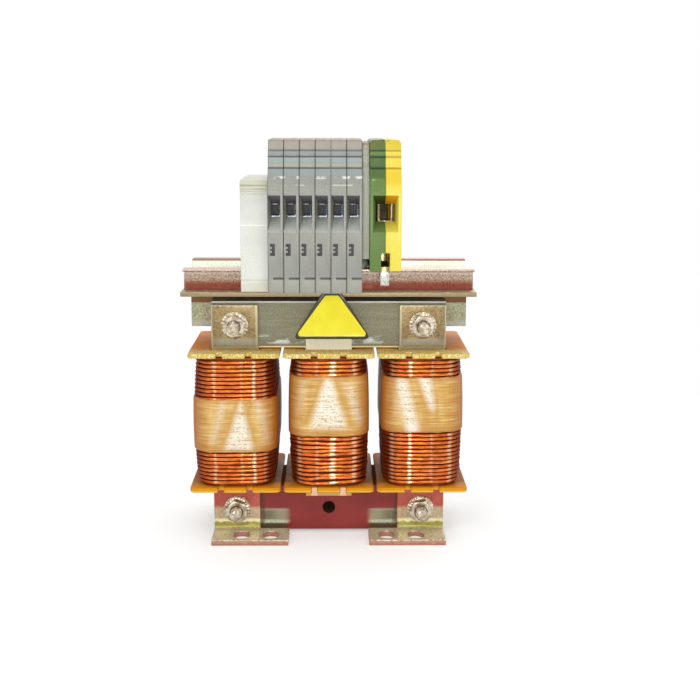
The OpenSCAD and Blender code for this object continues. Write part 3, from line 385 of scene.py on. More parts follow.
def stackFinish(name, look):
    # laminated steel: varnished faces towards front and rear, and sheet edges with rust and varnish between; the
    # faces carry painted reflections, shade and highlights
    finish, shader, place, split = newFinish(
        name, Metallic=look["metallic"], Specular_IOR_Level=look["gloss"], Coat_Weight=look["varnish"],
        Coat_Roughness=0.12)
    front = stepped(absolute(split[1]), 0.01292, 0.01298)
    cloud = grain(place, look["cloud"], stretch=look["brush"], detail=4.0)
    speck = grain(place, 0.45, detail=3.0, rough=0.7)
    face = mixed(stepped(cloud, 0.3, 0.7), look["faceDark"], look["faceLight"])
    face = speckled(face, speck, 0.52, 0.7, look["speckShare"], look["faceSpeck"])
    face = speckled(face, speck, 0.46, 0.32, look["speckShare"], look["facePit"])
    face = bandsOn(split, face, look["bands"])
    # painted highlights in bands across the face, broken up by noise
    for low, high, tint, share in look["shines"]:
        shine = stepped(grain(place, 4.0, stretch=(0.6, 1, 2), detail=3.0), 0.5, 0.62, 0.0, share)
        face = tinted(face, between(split[2], low, high, 0.6), shine, tint)
    side = plus(absolute(split[0]), swing(cloud, 0.003))
    rise = plus(split[2], swing(speck, 0.001))
    for left, right, soft, low, high, fade, tint, share, dots in look["panes"]:
        # soft-edged panes of painted reflection and shade, mirrored left and right
        pane = times(between(side, left, right, soft), between(rise, low, high, fade))
        face = mixed(times(pane, stepped(speck, *dots, 0.3 * share, share)), face, tint)
    sheets = calc("FRACT", times(split[1], 1 / (look["sheet"] * mm)))
    seam = stepped(absolute(minus(sheets, 0.5)), 0.34, 0.5)
    rust = grain(place, 2.2, stretch=(0.4, 3, 0.4), detail=4.0)
    edge = mixed(stepped(rust, 0.35, 0.7), look["edgeDark"], look["edgeLight"])
    edge = tinted(edge, seam, 0.7, look["seam"])
    feed(shader["Base Color"], mixed(front, edge, face))
    feed(shader["Roughness"], plus(stepped(cloud, 0.2, 0.8, look["rough"] - 0.06, look["rough"] + 0.14),
                                   stepped(front, 0.0, 1.0, 0.4, 0.0)))
    for socket, dull, bright in (("Coat Weight", 0.0, look["varnish"]), ("Specular IOR Level", 0.05, look["gloss"])):
        feed(shader[socket], stepped(front, 0.0, 1.0, dull, bright))
    reliefTo(shader, plus(times(cloud, 0.5), speck), 0.02, 0.4)
    return finish


lowerSteel = stackFinish("lowerSteel", {
    "faceDark": (0.23, 0.022, 0.018), "faceLight": (0.33, 0.036, 0.032), "faceSpeck": (0.34, 0.07, 0.06),
    "facePit": (0.15, 0.02, 0.015), "speckShare": 0.3, "edgeDark": (0.07, 0.025, 0.012),
    "edgeLight": (0.2, 0.09, 0.04), "seam": (0.03, 0.012, 0.008), "sheet": 0.5, "cloud": 9, "brush": (0.5, 1, 1.2),
    "metallic": 0.0, "gloss": 0.25, "varnish": 0.2, "rough": 0.3,
    "bands": [(15.6, 20, 0.4, (0.16, 0.012, 0.008), 0.7), (0, 3.0, 1.0, (0.26, 0.02, 0.015), 0.5)], "shines": [],
    # panes: painted reflections of the feet on the glossy face, and painted shade low above the feet and at the ends
    "panes": [(14.6, 25, 1.5, 3.2, 8.3, 0.5, (0.34, 0.34, 0.22), 0.95, (0.1, 0.4)),
              (19.5, 25, 2.2, 4.6, 8.4, 0.8, (0.13, 0.12, 0.06), 0.75, (0.2, 0.5)),
              (14.8, 25, 1.6, 7.7, 8.5, 0.3, (0.5, 0.46, 0.36), 0.6, (0.3, 0.6)),
              (14.4, 25, 1.4, 3.0, 4.4, 0.35, (0.75, 0.78, 0.6), 0.85, (0.46, 0.56)),
              (14.2, 25, 1.4, 1.7, 3.2, 0.35, (0.055, 0.075, 0.03), 0.95, (0.1, 0.4)),
              (22.7, 24.6, 0.4, 1.6, 17, 0.4, (0.1, 0.04, 0.02), 0.6, (0.1, 0.4))]})
# upper yoke: the light line along the top edge and the shines near the bottom are painted highlights
upperSteel = stackFinish("upperSteel", {
    "faceDark": (0.17, 0.163, 0.1), "faceLight": (0.25, 0.237, 0.15), "faceSpeck": (0.34, 0.33, 0.24),
    "facePit": (0.12, 0.105, 0.055), "speckShare": 0.7, "edgeDark": (0.13, 0.1, 0.06), "edgeLight": (0.4, 0.37, 0.27),
    "seam": (0.05, 0.035, 0.02), "sheet": 0.5, "cloud": 2.2, "brush": (0.14, 1, 1.6), "metallic": 0.3, "gloss": 0.3,
    "varnish": 0.1, "rough": 0.38,
    "bands": [(81.5, 83, 0.12, (0.7, 0.7, 0.62), 0.75), (66, 66.55, 0.08, (0.78, 0.66, 0.34), 0.9),
              (66.6, 67.0, 0.1, (0.12, 0.1, 0.04), 0.6)],
    "shines": [(67.4, 70.2, (0.6, 0.66, 0.62), 0.9)], "panes": []})


def amberFinish():
    # moulded amber plastic, sparkling: in both flanges the front is lighter and further back it turns deep
    # red-orange, as painted light and shade; the lower flanges get a painted highlight on their upper rim and painted
    # shade just under the coils
    look = {"gold": (0.74, 0.5, 0.09), "deep": (0.82, 0.25, 0.012), "pale": (0.97, 0.9, 0.55),
            "low": (0.82, 0.33, 0.01), "lowDeep": (0.4, 0.12, 0.006), "rim": (0.95, 0.62, 0.12),
            "olive": (0.42, 0.3, 0.04)}
    finish, shader, place, split = newFinish("amberPlastic", Specular_IOR_Level=0.06)
    cloud = grain(place, 4.5, detail=4.0, rough=0.6)
    speck = grain(place, 0.6, detail=3.0, rough=0.8)
    wavy = plus(split[1], swing(cloud, 0.012))
    upper = mixed(stepped(wavy, -0.0185, -0.0125), look["gold"], look["deep"])
    upper = speckled(upper, speck, 0.5, 0.6, 0.9, look["pale"])
    upper = speckled(upper, speck, 0.44, 0.36, 0.7, look["olive"])
    upper = mixed(stepped(wavy, -0.016, -0.011), upper, look["deep"])
    lower = mixed(stepped(wavy, -0.02, -0.014), look["low"], look["lowDeep"])
    lower = speckled(lower, speck, 0.58, 0.75, 0.35, look["rim"])
    lower = bandsOn(split, lower, [(17.1, 17.75, 0.15, look["rim"], 0.8), (18.3, 19.2, 0.2, look["lowDeep"], 0.2)])
    feed(shader["Base Color"], mixed(stepped(split[2], 0.03, 0.05), lower, upper))
    feed(shader["Roughness"], stepped(cloud, 0.2, 0.8, 0.36, 0.56))
    reliefTo(shader, plus(cloud, times(speck, 0.3)), 0.06, 0.4)
    return finish


def offCoil(split):
    # distance in metres from the middle of the nearest coil, along X
    across = calc("FRACT", over(plus(split[0], 0.048), 0.032))
    return times(absolute(minus(across, 0.5)), 0.032)


def cornerOf(split, cloud, low, high):
    # 1 on the coils' upright corners, ragged by the cloud
    off = plus(offCoil(split), swing(cloud, 0.003))
    return times(stepped(off, low, high), stepped(absolute(split[1]), 0.013, 0.017))


def copperFinish(name, look):
    # enamelled copper wire under varnish
    finish, shader, place, split = newFinish(name, Metallic=look["metallic"], Coat_Weight=0.12,
                                             Coat_Roughness=0.1, Specular_Tint=(0.45, 0.12, 0.04, 1))
    cloud = grain(place, 3.0, stretch=(1, 1, 2.5), detail=4.0, rough=0.6)
    drops = grain(place, 0.9, stretch=(0.35, 0.35, 1), detail=3.0, rough=0.7)
    colour = mixed(stepped(cloud, 0.32, 0.68), look["dark"], look["light"])
    if "shines" in look:
        # the wire carries how far its skin faces outwards and upwards: painted shade makes the grooves deep red and a
        # painted highlight makes the crests gold
        out, up = [put("ShaderNodeAttribute", attribute_name=n).outputs["Fac"] for n in ("skinOut", "skinUp")]
        colour = speckled(colour, out, 0.85, 0.1, 0.9, look["grooveShade"])
        crest = plus(times(out, 0.9), times(up, 0.43))
        crest = times(stepped(crest, 0.88, 0.98), stepped(drops, 0.4, 0.62, 0.0, 0.85))
        colour = mixed(crest, colour, look["gold"])
        ahead = times(stepped(split[1], -0.016, -0.018), stepped(out, 0.1, 0.7))
        across = plus(split[0], swing(drops, 0.0022))
        # painted highlights: upright bright stretches on the coils' fronts
        for x, half, share in look["shines"]:
            shine = times(between(across, x - half, x + half, 0.5), ahead)
            colour = tinted(colour, shine, share, look["highlightColour"])
    else:
        colour = speckled(colour, drops, 0.58, 0.74, 0.6, look["gold"])
    # painted shade: darker red on the coils' upright corners and on their sides
    colour = tinted(colour, cornerOf(split, cloud, 0.0085, 0.0125), 0.75, look["corner"])
    side = stepped(offCoil(split), 0.0118, 0.013)
    colour = tinted(colour, side, 0.75, look["corner"])
    feed(shader["Base Color"], colour)
    if "shines" in look:
        feed(shader["Coat Weight"], stepped(side, 0.0, 1.0, 0.12, 0.0))
        feed(shader["Metallic"], stepped(side, 0.0, 1.0, look["metallic"], 0.2))
    feed(shader["Roughness"], plus(stepped(cloud, 0.2, 0.8, 0.15, 0.3), times(side, 0.35)))
    reliefTo(shader, drops, 0.01, 0.3)
    return finish


def paperFinish(name, look):
    finish, shader, place, split = newFinish(name, Roughness=0.75)
    fibre = grain(place, 0.35, stretch=(1, 1, 0.25), detail=4.0, rough=0.7)
    cloud = grain(place, 3.5, detail=3.0)
    colour = mixed(stepped(fibre, 0.3, 0.7), look["dark"], look["light"])
    colour = speckled(colour, cloud, 0.5, 0.75, 0.5, look["stain"])
    colour = bandsOn(split, colour, look["bands"])
    # painted reflection: a salmon tint on the strip's lower tabs
    if "tab" in look:
        centre, half, tint = look["tab"]
        tab = times(between(absolute(split[0]), centre - half, centre + half, 0.05), stepped(split[2], 0.021, 0.019))
        colour = mixed(tab, colour, tint)
    feed(shader["Base Color"], colour)
    reliefTo(shader, fibre, 0.05, 0.5)
    return finish


def tapeFinish():
    # glass-cloth tape soaked with varnish: gold threads, and pale patches where the varnish stands off
    look = {"gold": (0.6, 0.3, 0.05), "straw": (0.8, 0.53, 0.16), "light": (0.95, 0.78, 0.42),
            "pale": (0.97, 0.94, 0.82), "grey": (0.5, 0.4, 0.22), "edge": (0.48, 0.15, 0.018),
            "rim": (0.52, 0.19, 0.022), "rims": [(-32, 31.4, 49.8), (0, 37.0, 57.7), (32, 38.4, 57.3)],
            # middle, low and high in mm, lean of the middle, half width at the foot and at the top, share
            "dull": [(-35.4, 33.5, 50, 0.3, 1.3, 1.0, 0.7), (-24.4, 33.5, 50, -0.3, 1.3, 1.0, 0.7),
                     (-8.2, 41, 57, 0.36, 1.2, 1.0, 0.7), (7.9, 41, 57, -0.36, 1.2, 1.0, 0.7),
                     (33.6, 41, 57, -0.2, 1.4, 1.0, 0.7), (40.5, 39, 57, -0.1, 1.0, 1.6, 0.5)],
            "patches": [(-30.6, 32.5, 49.5, 0.06, 5.0, 0.2, 0.85), (-0.2, 40.0, 57.0, 0.0, 6.4, 1.2, 0.88),
                        (28.6, 38.5, 57.0, -0.22, 2.4, 1.8, 0.9), (35.2, 46.0, 57.5, -0.25, 0.8, 2.2, 0.9),
                        (-39.4, 34, 49, 0.24, 1.2, 1.6, 0.35), (-20.6, 35, 49.5, -0.24, 1.2, 1.6, 0.4),
                        (10.6, 41, 55, -0.25, 1.4, 1.8, 0.45), (-10.8, 44, 56, 0.2, 0.8, 1.4, 0.3),
                        (22.8, 44, 56, 0.1, 1.0, 1.6, 0.3)]}
    finish, shader, place, split = newFinish("glassTape", Specular_IOR_Level=0.3, Coat_Weight=0.2,
                                             Coat_Roughness=0.25)
    cloud = grain(place, 5.0, stretch=(1, 1, 0.5), detail=4.0)
    speck = grain(place, 0.5, stretch=(0.7, 0.7, 1), detail=3.0, rough=0.8)
    threads = grain(place, 0.55, stretch=(0.045, 0.045, 1), detail=3.0, rough=0.7)
    streak = grain(place, 1.6, stretch=(0.8, 0.8, 0.1), detail=3.0)
    colour = mixed(stepped(cloud, 0.35, 0.65), look["gold"], look["straw"])
    colour = speckled(colour, streak, 0.4, 0.65, 0.45, look["straw"])
    colour = speckled(colour, threads, 0.52, 0.64, 0.65, look["light"])
    for x, low, high in look["rims"]:
        # the tape is darker towards its top and bottom rims
        near = between(split[0], x - 16, x + 16, 0.1)
        inner = between(split[2], low + 2.2, high - 1.2, 1.4)
        rim = times(near, minus(1.0, inner))
        colour = tinted(colour, rim, 0.6, look["rim"])
    colour = speckled(colour, threads, 0.47, 0.36, 0.75, look["rim"])
    front = stepped(split[1], -0.019, -0.021)
    torn = plus(times(speck, 0.55), times(threads, 0.45))
    for group, tint, dots in (("dull", look["gold"], (0.0, 0.3)), ("patches", look["pale"], (0.4, 0.5))):
        for x, low, high, lean, foot, tip, share in look[group]:
            # a stroke that narrows or widens on its way up
            rise = stepped(split[2], low * mm, high * mm)
            reach = stepped(rise, 0.0, 1.0, foot * mm, tip * mm)
            middle = plus(times(rise, lean * (high - low) * mm), x * mm)
            off = absolute(minus(split[0], middle))
            off = plus(off, swing(torn, 0.006))
            inside = stepped(minus(reach, off), -0.001, 0.0012)
            inside = times(inside, between(split[2], low, high, 1.6))
            inside = times(times(inside, front), stepped(torn, *dots))
            colour = tinted(colour, inside, share, tint)
    colour = speckled(colour, speck, 0.43, 0.34, 0.55, look["grey"])
    # painted shade: darker orange-brown on the coils' upright corners and on the tape's sides
    colour = tinted(colour, cornerOf(split, cloud, 0.008, 0.0135), 0.85, look["edge"])
    side = stepped(offCoil(split), 0.0125, 0.0138)
    colour = tinted(colour, side, 0.55, look["edge"])
    feed(shader["Coat Weight"], stepped(side, 0.0, 1.0, 0.2, 0.0))
    feed(shader["Specular IOR Level"], stepped(side, 0.0, 1.0, 0.3, 0.1))
    feed(shader["Base Color"], colour)
    feed(shader["Roughness"], stepped(speck, 0.2, 0.8, 0.28, 0.55))
    reliefTo(shader, plus(threads, speck), 0.05, 0.5)
    return finish


def labelFinish(name, light, dark):
    finish, shader, place, split = newFinish(name, Specular_IOR_Level=0.3, Coat_Weight=0.15,
                                             Coat_Roughness=0.15)
    cloud = grain(place, 5.0, detail=3.0)
    fine = grain(place, 0.3, detail=2.0)
    feed(shader["Base Color"], mixed(stepped(cloud, 0.3, 0.7), dark, light))
    feed(shader["Roughness"], stepped(fine, 0.2, 0.8, 0.3, 0.5))
    reliefTo(shader, fine, 0.01, 0.4)
    return finish


amberPlastic = amberFinish()
copperEnamel = copperFinish("copperEnamel", {
    "dark": (0.44, 0.06, 0.008), "light": (0.78, 0.19, 0.022), "gold": (1.0, 0.52, 0.17),
    "corner": (0.15, 0.018, 0.006), "grooveShade": (0.2, 0.014, 0.004), "highlightColour": (1.0, 0.84, 0.55), "metallic": 0.7,
    # middle, half width and share of the painted highlight stretches across the front
    "shines": [(-25.2, 0.4, 0.8), (-38.6, 0.45, 0.35), (-29.5, 0.3, 0.2), (-21.6, 0.4, 0.3), (1.3, 0.8, 0.65),
               (-10.2, 0.7, 0.35), (8.8, 0.7, 0.35), (-4.0, 0.4, 0.2), (27.6, 0.45, 0.8), (21.4, 0.7, 0.35),
               (41.4, 0.7, 0.4), (35.0, 0.4, 0.2)]})
leadCopper = copperFinish("leadCopper", {
    "dark": (0.5, 0.085, 0.012), "light": (0.86, 0.25, 0.035), "gold": (1.0, 0.6, 0.24),
    "corner": (0.2, 0.022, 0.008), "metallic": 0.7})
pressPaper = paperFinish("pressPaper", {
    "dark": (0.9, 0.86, 0.62), "light": (0.98, 0.97, 0.82), "stain": (0.94, 0.88, 0.62),
    "bands": [(10, 19.5, 0.3, (0.55, 0.26, 0.03), 0.9)], "tab": (4.9, 1.1, (0.85, 0.5, 0.32))})
gapPaper = paperFinish("gapPaper", {
    "dark": (0.66, 0.55, 0.28), "light": (0.84, 0.76, 0.5), "stain": (0.7, 0.5, 0.2), "bands": []})
sleeveCloth = paperFinish("sleeveCloth", {
    "dark": (0.6, 0.55, 0.4), "light": (0.82, 0.78, 0.64), "stain": (0.7, 0.5, 0.25), "bands": []})
glassTape = tapeFinish()
labelYellow = labelFinish("labelYellow", (0.9, 0.8, 0.02), (0.84, 0.7, 0.015))
labelRim = labelFinish("labelRim", (0.03, 0.028, 0.012), (0.015, 0.015, 0.008))
print("finishes made:", len(bpy.data.materials))


# ---- helpers for pieces ----
def setPiece(name, mesh, nodes, finishes, body=root, smooth=35):
    piece = bpy.data.objects.new(name, mesh)
    scene.collection.objects.link(piece)
    mesh.materials.clear()
    for finish in finishes:
        mesh.materials.append(finish)
    mesh.polygons.foreach_set("use_smooth", [True] * len(mesh.polygons))
    mesh.set_sharp_from_angle(angle=math.radians(smooth))
    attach(piece, body)
    if nodes:
        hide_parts(*nodes)
    return piece


def evaluatedMesh(holder):
    view = bpy.context.evaluated_depsgraph_get()
    view.update()
    mesh = bpy.data.meshes.new_from_object(holder.evaluated_get(view))
    holder.modifiers.clear()
    bpy.data.objects.remove(holder)
    return mesh


def roundedEdges(mesh, width, segments, clamp):
    holder = bpy.data.objects.new("holder", mesh)
    scene.collection.objects.link(holder)
    bevel = holder.modifiers.new("edges", "BEVEL")
    bevel.width = width * mm
    bevel.segments = segments
    bevel.limit_method = "ANGLE"
    bevel.angle_limit = math.radians(bevelAngle)
    bevel.use_clamp_overlap = clamp
    bevel.loop_slide = False
    return evaluatedMesh(holder)


# points closer than these are merged, in metres, and faces flatter than this angle are joined
closeGap, tinyGap, flatAngle = 3e-5, 2e-6, 0.4


def nodeMesh(name, joined=True):
    # a merged copy of a CAD node's mesh, its flat faces joined and its shortest edges closed
    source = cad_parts[name].data
    shape = bmesh.new()
    shape.from_mesh(source)
    bmesh.ops.remove_doubles(shape, verts=shape.verts, dist=closeGap if joined else tinyGap)
    if joined:
        bmesh.ops.dissolve_limit(shape, angle_limit=math.radians(flatAngle), verts=shape.verts, edges=shape.edges)
    shape.verts.index_update()
    points = [v.co.copy() for v in shape.verts]
    faces = [[v.index for v in f.verts] for f in shape.faces]
    shape.free()
    mesh = bpy.data.meshes.new(name + "Shape")
    mesh.from_pydata(points, [], faces)
    return mesh


def overlapOf(mesh):
    # the most that a face's triangles cover beyond the face itself, in square millimetres
    mesh.calc_loop_triangles()
    covered = [0.0] * len(mesh.polygons)
    for triangle in mesh.loop_triangles:
        covered[triangle.polygon_index] += triangle.area
    return max(c - face.area for c, face in zip(covered, mesh.polygons)) / mm ** 2


# the shares of a bevel's width that are tried, and the overlap in square millimetres that passes
bevelTries = [(share, clamp) for share in (1, 0.6, 0.3) for clamp in (False, True)]
bevelOverlap = 0.12
bevelAngle = 35


def dressNode(node, name, finishes, width, segments, choose=None, body=root):
    # the bevel shrinks until no face overlaps itself, and is left out where it never fits
    for share, clamp in bevelTries:
        mesh = roundedEdges(nodeMesh(node), width * share, segments, clamp)
        if overlapOf(mesh) < bevelOverlap:
            break
    else:
        mesh = nodeMesh(node, False)
        share = 0
    if share < 1 or clamp:
        print("bevel share", share, clamp, node)
    low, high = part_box(node)
    for point in mesh.vertices:
        # a bevel's corner may overshoot, so it is kept inside the node's box
        point.co = [min(max(c, a), b) for c, a, b in zip(point.co, low, high)]
    piece = setPiece(name, mesh, [node], finishes, body)
    if choose:
        for face in mesh.polygons:
            face.material_index = choose(face.center / mm, face.normal)
    return piece


# a Geometry Nodes tree with named inputs, and the mesh that it grows
def newTree(name, **inputs):
    Board.tree = bpy.data.node_groups.new(name, "GeometryNodeTree")
    for kind, labels in inputs.items():
        for label in labels.split():
            Board.tree.interface.new_socket(label, in_out="INPUT", socket_type="NodeSocket" + kind)
    Board.tree.interface.new_socket("Geometry", in_out="OUTPUT", socket_type="NodeSocketGeometry")
    return Board.tree, put("NodeGroupInput").outputs


def endTree(geometry, finish):
    whole = put("GeometryNodeRealizeInstances", {"Geometry": geometry})
    painted = put("GeometryNodeSetMaterial", {"Geometry": whole, "Material": finish})
    put("NodeGroupOutput", {"Geometry": painted})


def grow(name, tree, values, base=None):
    holder = bpy.data.objects.new(name, base or bpy.data.meshes.new(name + "Base"))
    scene.collection.objects.link(holder)
    modifier = holder.modifiers.new("grow", "NODES")
    modifier.node_group = tree
    for item in tree.interface.items_tree:
        if item.item_type == "SOCKET" and item.in_out == "INPUT" and item.name in values:
            modifier[item.identifier] = values[item.name]
    return evaluatedMesh(holder)


def metres(look, *keys):
    return {key: look[key] * mm for key in keys}


def meshOf(name, points, faces):
    mesh = bpy.data.meshes.new(name)
    mesh.from_pydata([Vector(p) * mm for p in points], [], faces)
    return mesh


def joinedMesh(name, parts):
    shape = bmesh.new()
    for part in parts:
        shape.from_mesh(part)
    mesh = bpy.data.meshes.new(name)
    shape.to_mesh(mesh)
    shape.free()
    return mesh


# ---- laminated core ----
coreLook = {"sheet": 0.5, "gap": 0.05, "shift": 0.05, "seed": 7}


def sheetOutline(node):
    # one lamination, as flat as the node's front face: its outline with the bolt holes in it
    shape = bmesh.new()
    shape.from_mesh(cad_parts[node].data)
    bmesh.ops.remove_doubles(shape, verts=shape.verts, dist=tinyGap)
    low = min(v.co.y for v in shape.verts)
    flat = [f for f in shape.faces if all(abs(v.co.y - low) < 1e-5 for v in f.verts)]
    bmesh.ops.delete(shape, geom=[f for f in shape.faces if f not in set(flat)], context="FACES")
    bmesh.ops.translate(shape, verts=shape.verts, vec=(0, -low, 0))
    grown = bmesh.ops.extrude_face_region(shape, geom=shape.faces[:])
    moved = [v for v in grown["geom"] if isinstance(v, bmesh.types.BMVert)]
    bmesh.ops.translate(shape, verts=moved, vec=(0, (coreLook["sheet"] - coreLook["gap"]) * mm, 0))
    bmesh.ops.recalc_face_normals(shape, faces=shape.faces)
    mesh = bpy.data.meshes.new(node + "Sheet")
    shape.to_mesh(mesh)
    shape.free()
    return mesh


stackTree, given = newTree("laminatedStack", Geometry="sheet", Int="count seed", Float="start pitch shift",
                           Material="finish")
row = put("GeometryNodeMeshLine", {"Count": given["count"], "Start Location": wholeOf(y=given["start"]),
                                   "Offset": wholeOf(y=given["pitch"])})
back = times(given["shift"], -1.0)
wander = put("FunctionNodeRandomValue", {0: wholeOf(back, 0.0, back),
                                         1: wholeOf(given["shift"], 0.0, given["shift"]), "Seed": given["seed"]},
             data_type="FLOAT_VECTOR")
shaken = put("GeometryNodeSetPosition", {"Geometry": row, "Offset": wander})
stacked = put("GeometryNodeInstanceOnPoints", {"Points": shaken, "Instance": given["sheet"]})
endTree(stacked, given["finish"])

for node, finish in (("core_legs", lowerSteel), ("upper_yoke", upperSteel)):
    low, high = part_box(node)
    count = round((high.y - low.y) / (coreLook["sheet"] * mm))
    mesh = grow(node + "Stack", stackTree, {
        "count": count, "start": low.y, "pitch": coreLook["sheet"] * mm, "shift": coreLook["shift"] * mm,
        "seed": coreLook["seed"], "finish": finish}, sheetOutline(node))
    setPiece(node + "_sheets", mesh, [node], [finish])
print("core stacked")


# ---- coils ----
coilLook = {
    "turns": 31.12, "pitch": 1.37, "wire": 0.64, "sides": 12, "pointsPerTurn": 64, "halfDepth": 21.15, "corner": 6.0,
    "deepBulge": 0.2, "pinch": 0.6, "sideCrown": 0.3, "frontCrown": 0.9, "low": 19.75, "high": 63.05,
    # half width, bulge of the sides, wander of the wire, more wander in the lower turns, seed
    "coils": {"left": (12.95, 0.5, 0.1, 1.0, 3.0), "middle": (12.6, 0.15, 0.12, 9.0, 11.0),
              "right": (12.8, 0.2, 0.1, 2.0, 19.0)}}
coilPlaces = {"left": -32.0, "middle": 0.0, "right": 32.0}
coilLengths = ("halfDepth", "corner", "low", "high", "wire", "deepBulge", "pinch", "sideCrown", "frontCrown")

coilInputs = "turns halfWidth halfDepth corner low high wire bulge deepBulge pinch sideCrown frontCrown wander"
coilTree, given = newTree("windingWire", Int="pointsPerTurn sides", Float=coilInputs + " lowWander seed place",
                          Material="finish")


def twice(value):
    return times(value, 2.0)


loop = put("GeometryNodeCurvePrimitiveQuadrilateral", {"Width": twice(given["halfWidth"]),
                                                       "Height": twice(given["halfDepth"])})
loop = put("GeometryNodeFilletCurve", {"Curve": loop, "Count": 10, "Radius": given["corner"]}, mode="POLY")
total = calc("ROUND", times(given["turns"], given["pointsPerTurn"]))
line = put("GeometryNodeMeshLine", {"Count": total})
line = put("GeometryNodeMeshToCurve", {"Mesh": line})
index = put("GeometryNodeInputIndex")
turn = over(index, given["pointsPerTurn"])
share = over(turn, given["turns"])
spot = put("GeometryNodeSampleCurve", {"Curves": loop, "Factor": calc("FRACT", turn)}, mode="FACTOR")
flat = partsOf(spot.outputs["Position"])
ratioX = over(flat[0], given["halfWidth"])
ratioY = over(flat[1], given["halfDepth"])
swell = calc("POWER", calc("SINE", times(share, math.pi), clamp=True), 0.7)


def growth(bulge, crown, other):
    # how far a turn stands out at this height, with the crown of the face across the other axis
    grown = minus(times(swell, plus(bulge, given["pinch"])), given["pinch"])
    return plus(grown, times(crown, minus(1.0, times(other, other))))


growX = growth(given["bulge"], given["sideCrown"], ratioY)
growY = growth(given["deepBulge"], given["frontCrown"], ratioX)
outX = plus(flat[0], times(ratioX, growX))
outY = plus(flat[1], times(ratioY, growY))
height = plus(given["low"], times(share, minus(given["high"], given["low"])))
shiver = put("ShaderNodeTexNoise", {"Vector": wholeOf(times(outX, 90.0), times(outY, 90.0), times(turn, 1.7)),
                                    "W": given["seed"], "Scale": 1.0, "Detail": 1.0}, noise_dimensions="4D")
shiver = put("ShaderNodeVectorMath", {0: shiver.outputs["Color"], 1: (0.5, 0.5, 0.5)}, operation="SUBTRACT")
below = calc("POWER", minus(1.0, share), 2.0)
restless = times(twice(given["wander"]), plus(1.0, times(below, given["lowWander"])))
shiver = put("ShaderNodeVectorMath", {0: shiver, "Scale": restless}, operation="SCALE")
position = wholeOf(plus(outX, given["place"]), outY, height)
wire = put("GeometryNodeSetPosition", {"Geometry": line, "Position": position, "Offset": shiver})
wire = put("GeometryNodeSetCurveNormal", {"Curve": wire}, mode="Z_UP")
profile = put("GeometryNodeCurvePrimitiveCircle", {"Resolution": given["sides"], "Radius": given["wire"]})
skin = partsOf(put("GeometryNodeInputPosition"))
for label, axis in (("skinOut", skin[0]), ("skinUp", skin[1])):
    profile = put("GeometryNodeStoreNamedAttribute", {"Geometry": profile, "Name": label,
                                                      "Value": over(axis, given["wire"])})
wire = put("GeometryNodeCurveToMesh", {"Curve": wire, "Profile Curve": profile, "Fill Caps": True})
endTree(wire, given["finish"])


def ovalLoop(side, reach, z, steps=8):
    # the coil's outline at one height, as the wire runs, moved out by reach
    halfWidth, bulge = coilLook["coils"][side][:2]
    w, d, r = halfWidth + reach, coilLook["halfDepth"] + reach, coilLook["corner"] + reach
    points = []
    for cx, cy, start in ((1, 1, 0), (-1, 1, 90), (-1, -1, 180), (1, -1, 270)):
        for k in range(steps + 1):
            a = math.radians(start + 90 * k / steps)
            points.append((cx * (w - r) + r * math.cos(a), cy * (d - r) + r * math.sin(a)))
    full = []
    for i, (px, py) in enumerate(points):
        nx, ny = points[(i + 1) % len(points)]
        full.append((px, py))
        parts = int(math.hypot(nx - px, ny - py) / 1.6)
        full += [(px + (nx - px) * k / parts, py + (ny - py) * k / parts) for k in range(1, parts)]
    share = min(1, max(0, (z - coilLook["low"]) / (coilLook["high"] - coilLook["low"])))
    swell = max(0, math.sin(math.pi * share)) ** 0.7
    pinch, made = coilLook["pinch"], []
    for px, py in full:
        rx, ry = px / w, py / d
        growX = -pinch + swell * (bulge + pinch) + coilLook["sideCrown"] * (1 - ry * ry)
        growY = -pinch + swell * (coilLook["deepBulge"] + pinch) + coilLook["frontCrown"] * (1 - rx * rx)
        made.append((coilPlaces[side] + px + rx * growX, py + ry * growY, z))
    return made


def loftedBand(name, outerLoops, innerLoops):
    # closed sleeve: outer loops upwards, inner loops downwards, joined at both rims
    loops = outerLoops + innerLoops[::-1]
    n = len(loops[0])
    points = [p for loop in loops for p in loop]
    faces = []
    for i in range(len(loops)):
        j = (i + 1) % len(loops)
        faces += [[i * n + k, i * n + (k + 1) % n, j * n + (k + 1) % n, j * n + k] for k in range(n)]
    return meshOf(name, points, faces)


for side, x in coilPlaces.items():
    halfWidth, bulge, wander, lowWander, seed = coilLook["coils"][side]
    mesh = grow("winding_" + side, coilTree, {**metres(coilLook, *coilLengths), "turns": coilLook["turns"],
                                              "pointsPerTurn": coilLook["pointsPerTurn"], "sides": coilLook["sides"],
                                              "halfWidth": halfWidth * mm, "bulge": bulge * mm,
                                              "wander": wander * mm, "lowWander": lowWander, "seed": seed,
                                              "place": x * mm, "finish": copperEnamel})
    setPiece("winding_" + side + "_wire", mesh, ["winding_" + side], [copperEnamel], smooth=60)

innerLook = {"gap": 0.5, "low": 19.0, "high": 63.85, "rings": 12, "shrinkX": 10.6 / 12.6, "shrinkY": 17.1 / 21.0}
parts = []
for side, x in coilPlaces.items():
    low, high, rings = (innerLook[key] for key in ("low", "high", "rings"))
    zs = [low + (high - low) * k / rings for k in range(rings + 1)]
    outer = [ovalLoop(side, -innerLook["gap"], z) for z in zs]
    shrink = [[(x + (px - x) * innerLook["shrinkX"], py * innerLook["shrinkY"], pz) for px, py, pz in loop]
              for loop in (outer[0], outer[-1])]
    parts.append(loftedBand("innerCoil", outer, shrink))
# the inner layers are a much darker copy of the wire's colour: painted shade between and behind the outer turns
innerCopperShade = copperFinish("innerCopperShade", {
    "dark": (0.16, 0.03, 0.008), "light": (0.3, 0.07, 0.015), "gold": (0.4, 0.15, 0.03),
    "corner": (0.08, 0.01, 0.004), "metallic": 0.5})
setPiece("inner_layers_core", joinedMesh("innerLayers", parts), ["inner_layers"], [innerCopperShade])

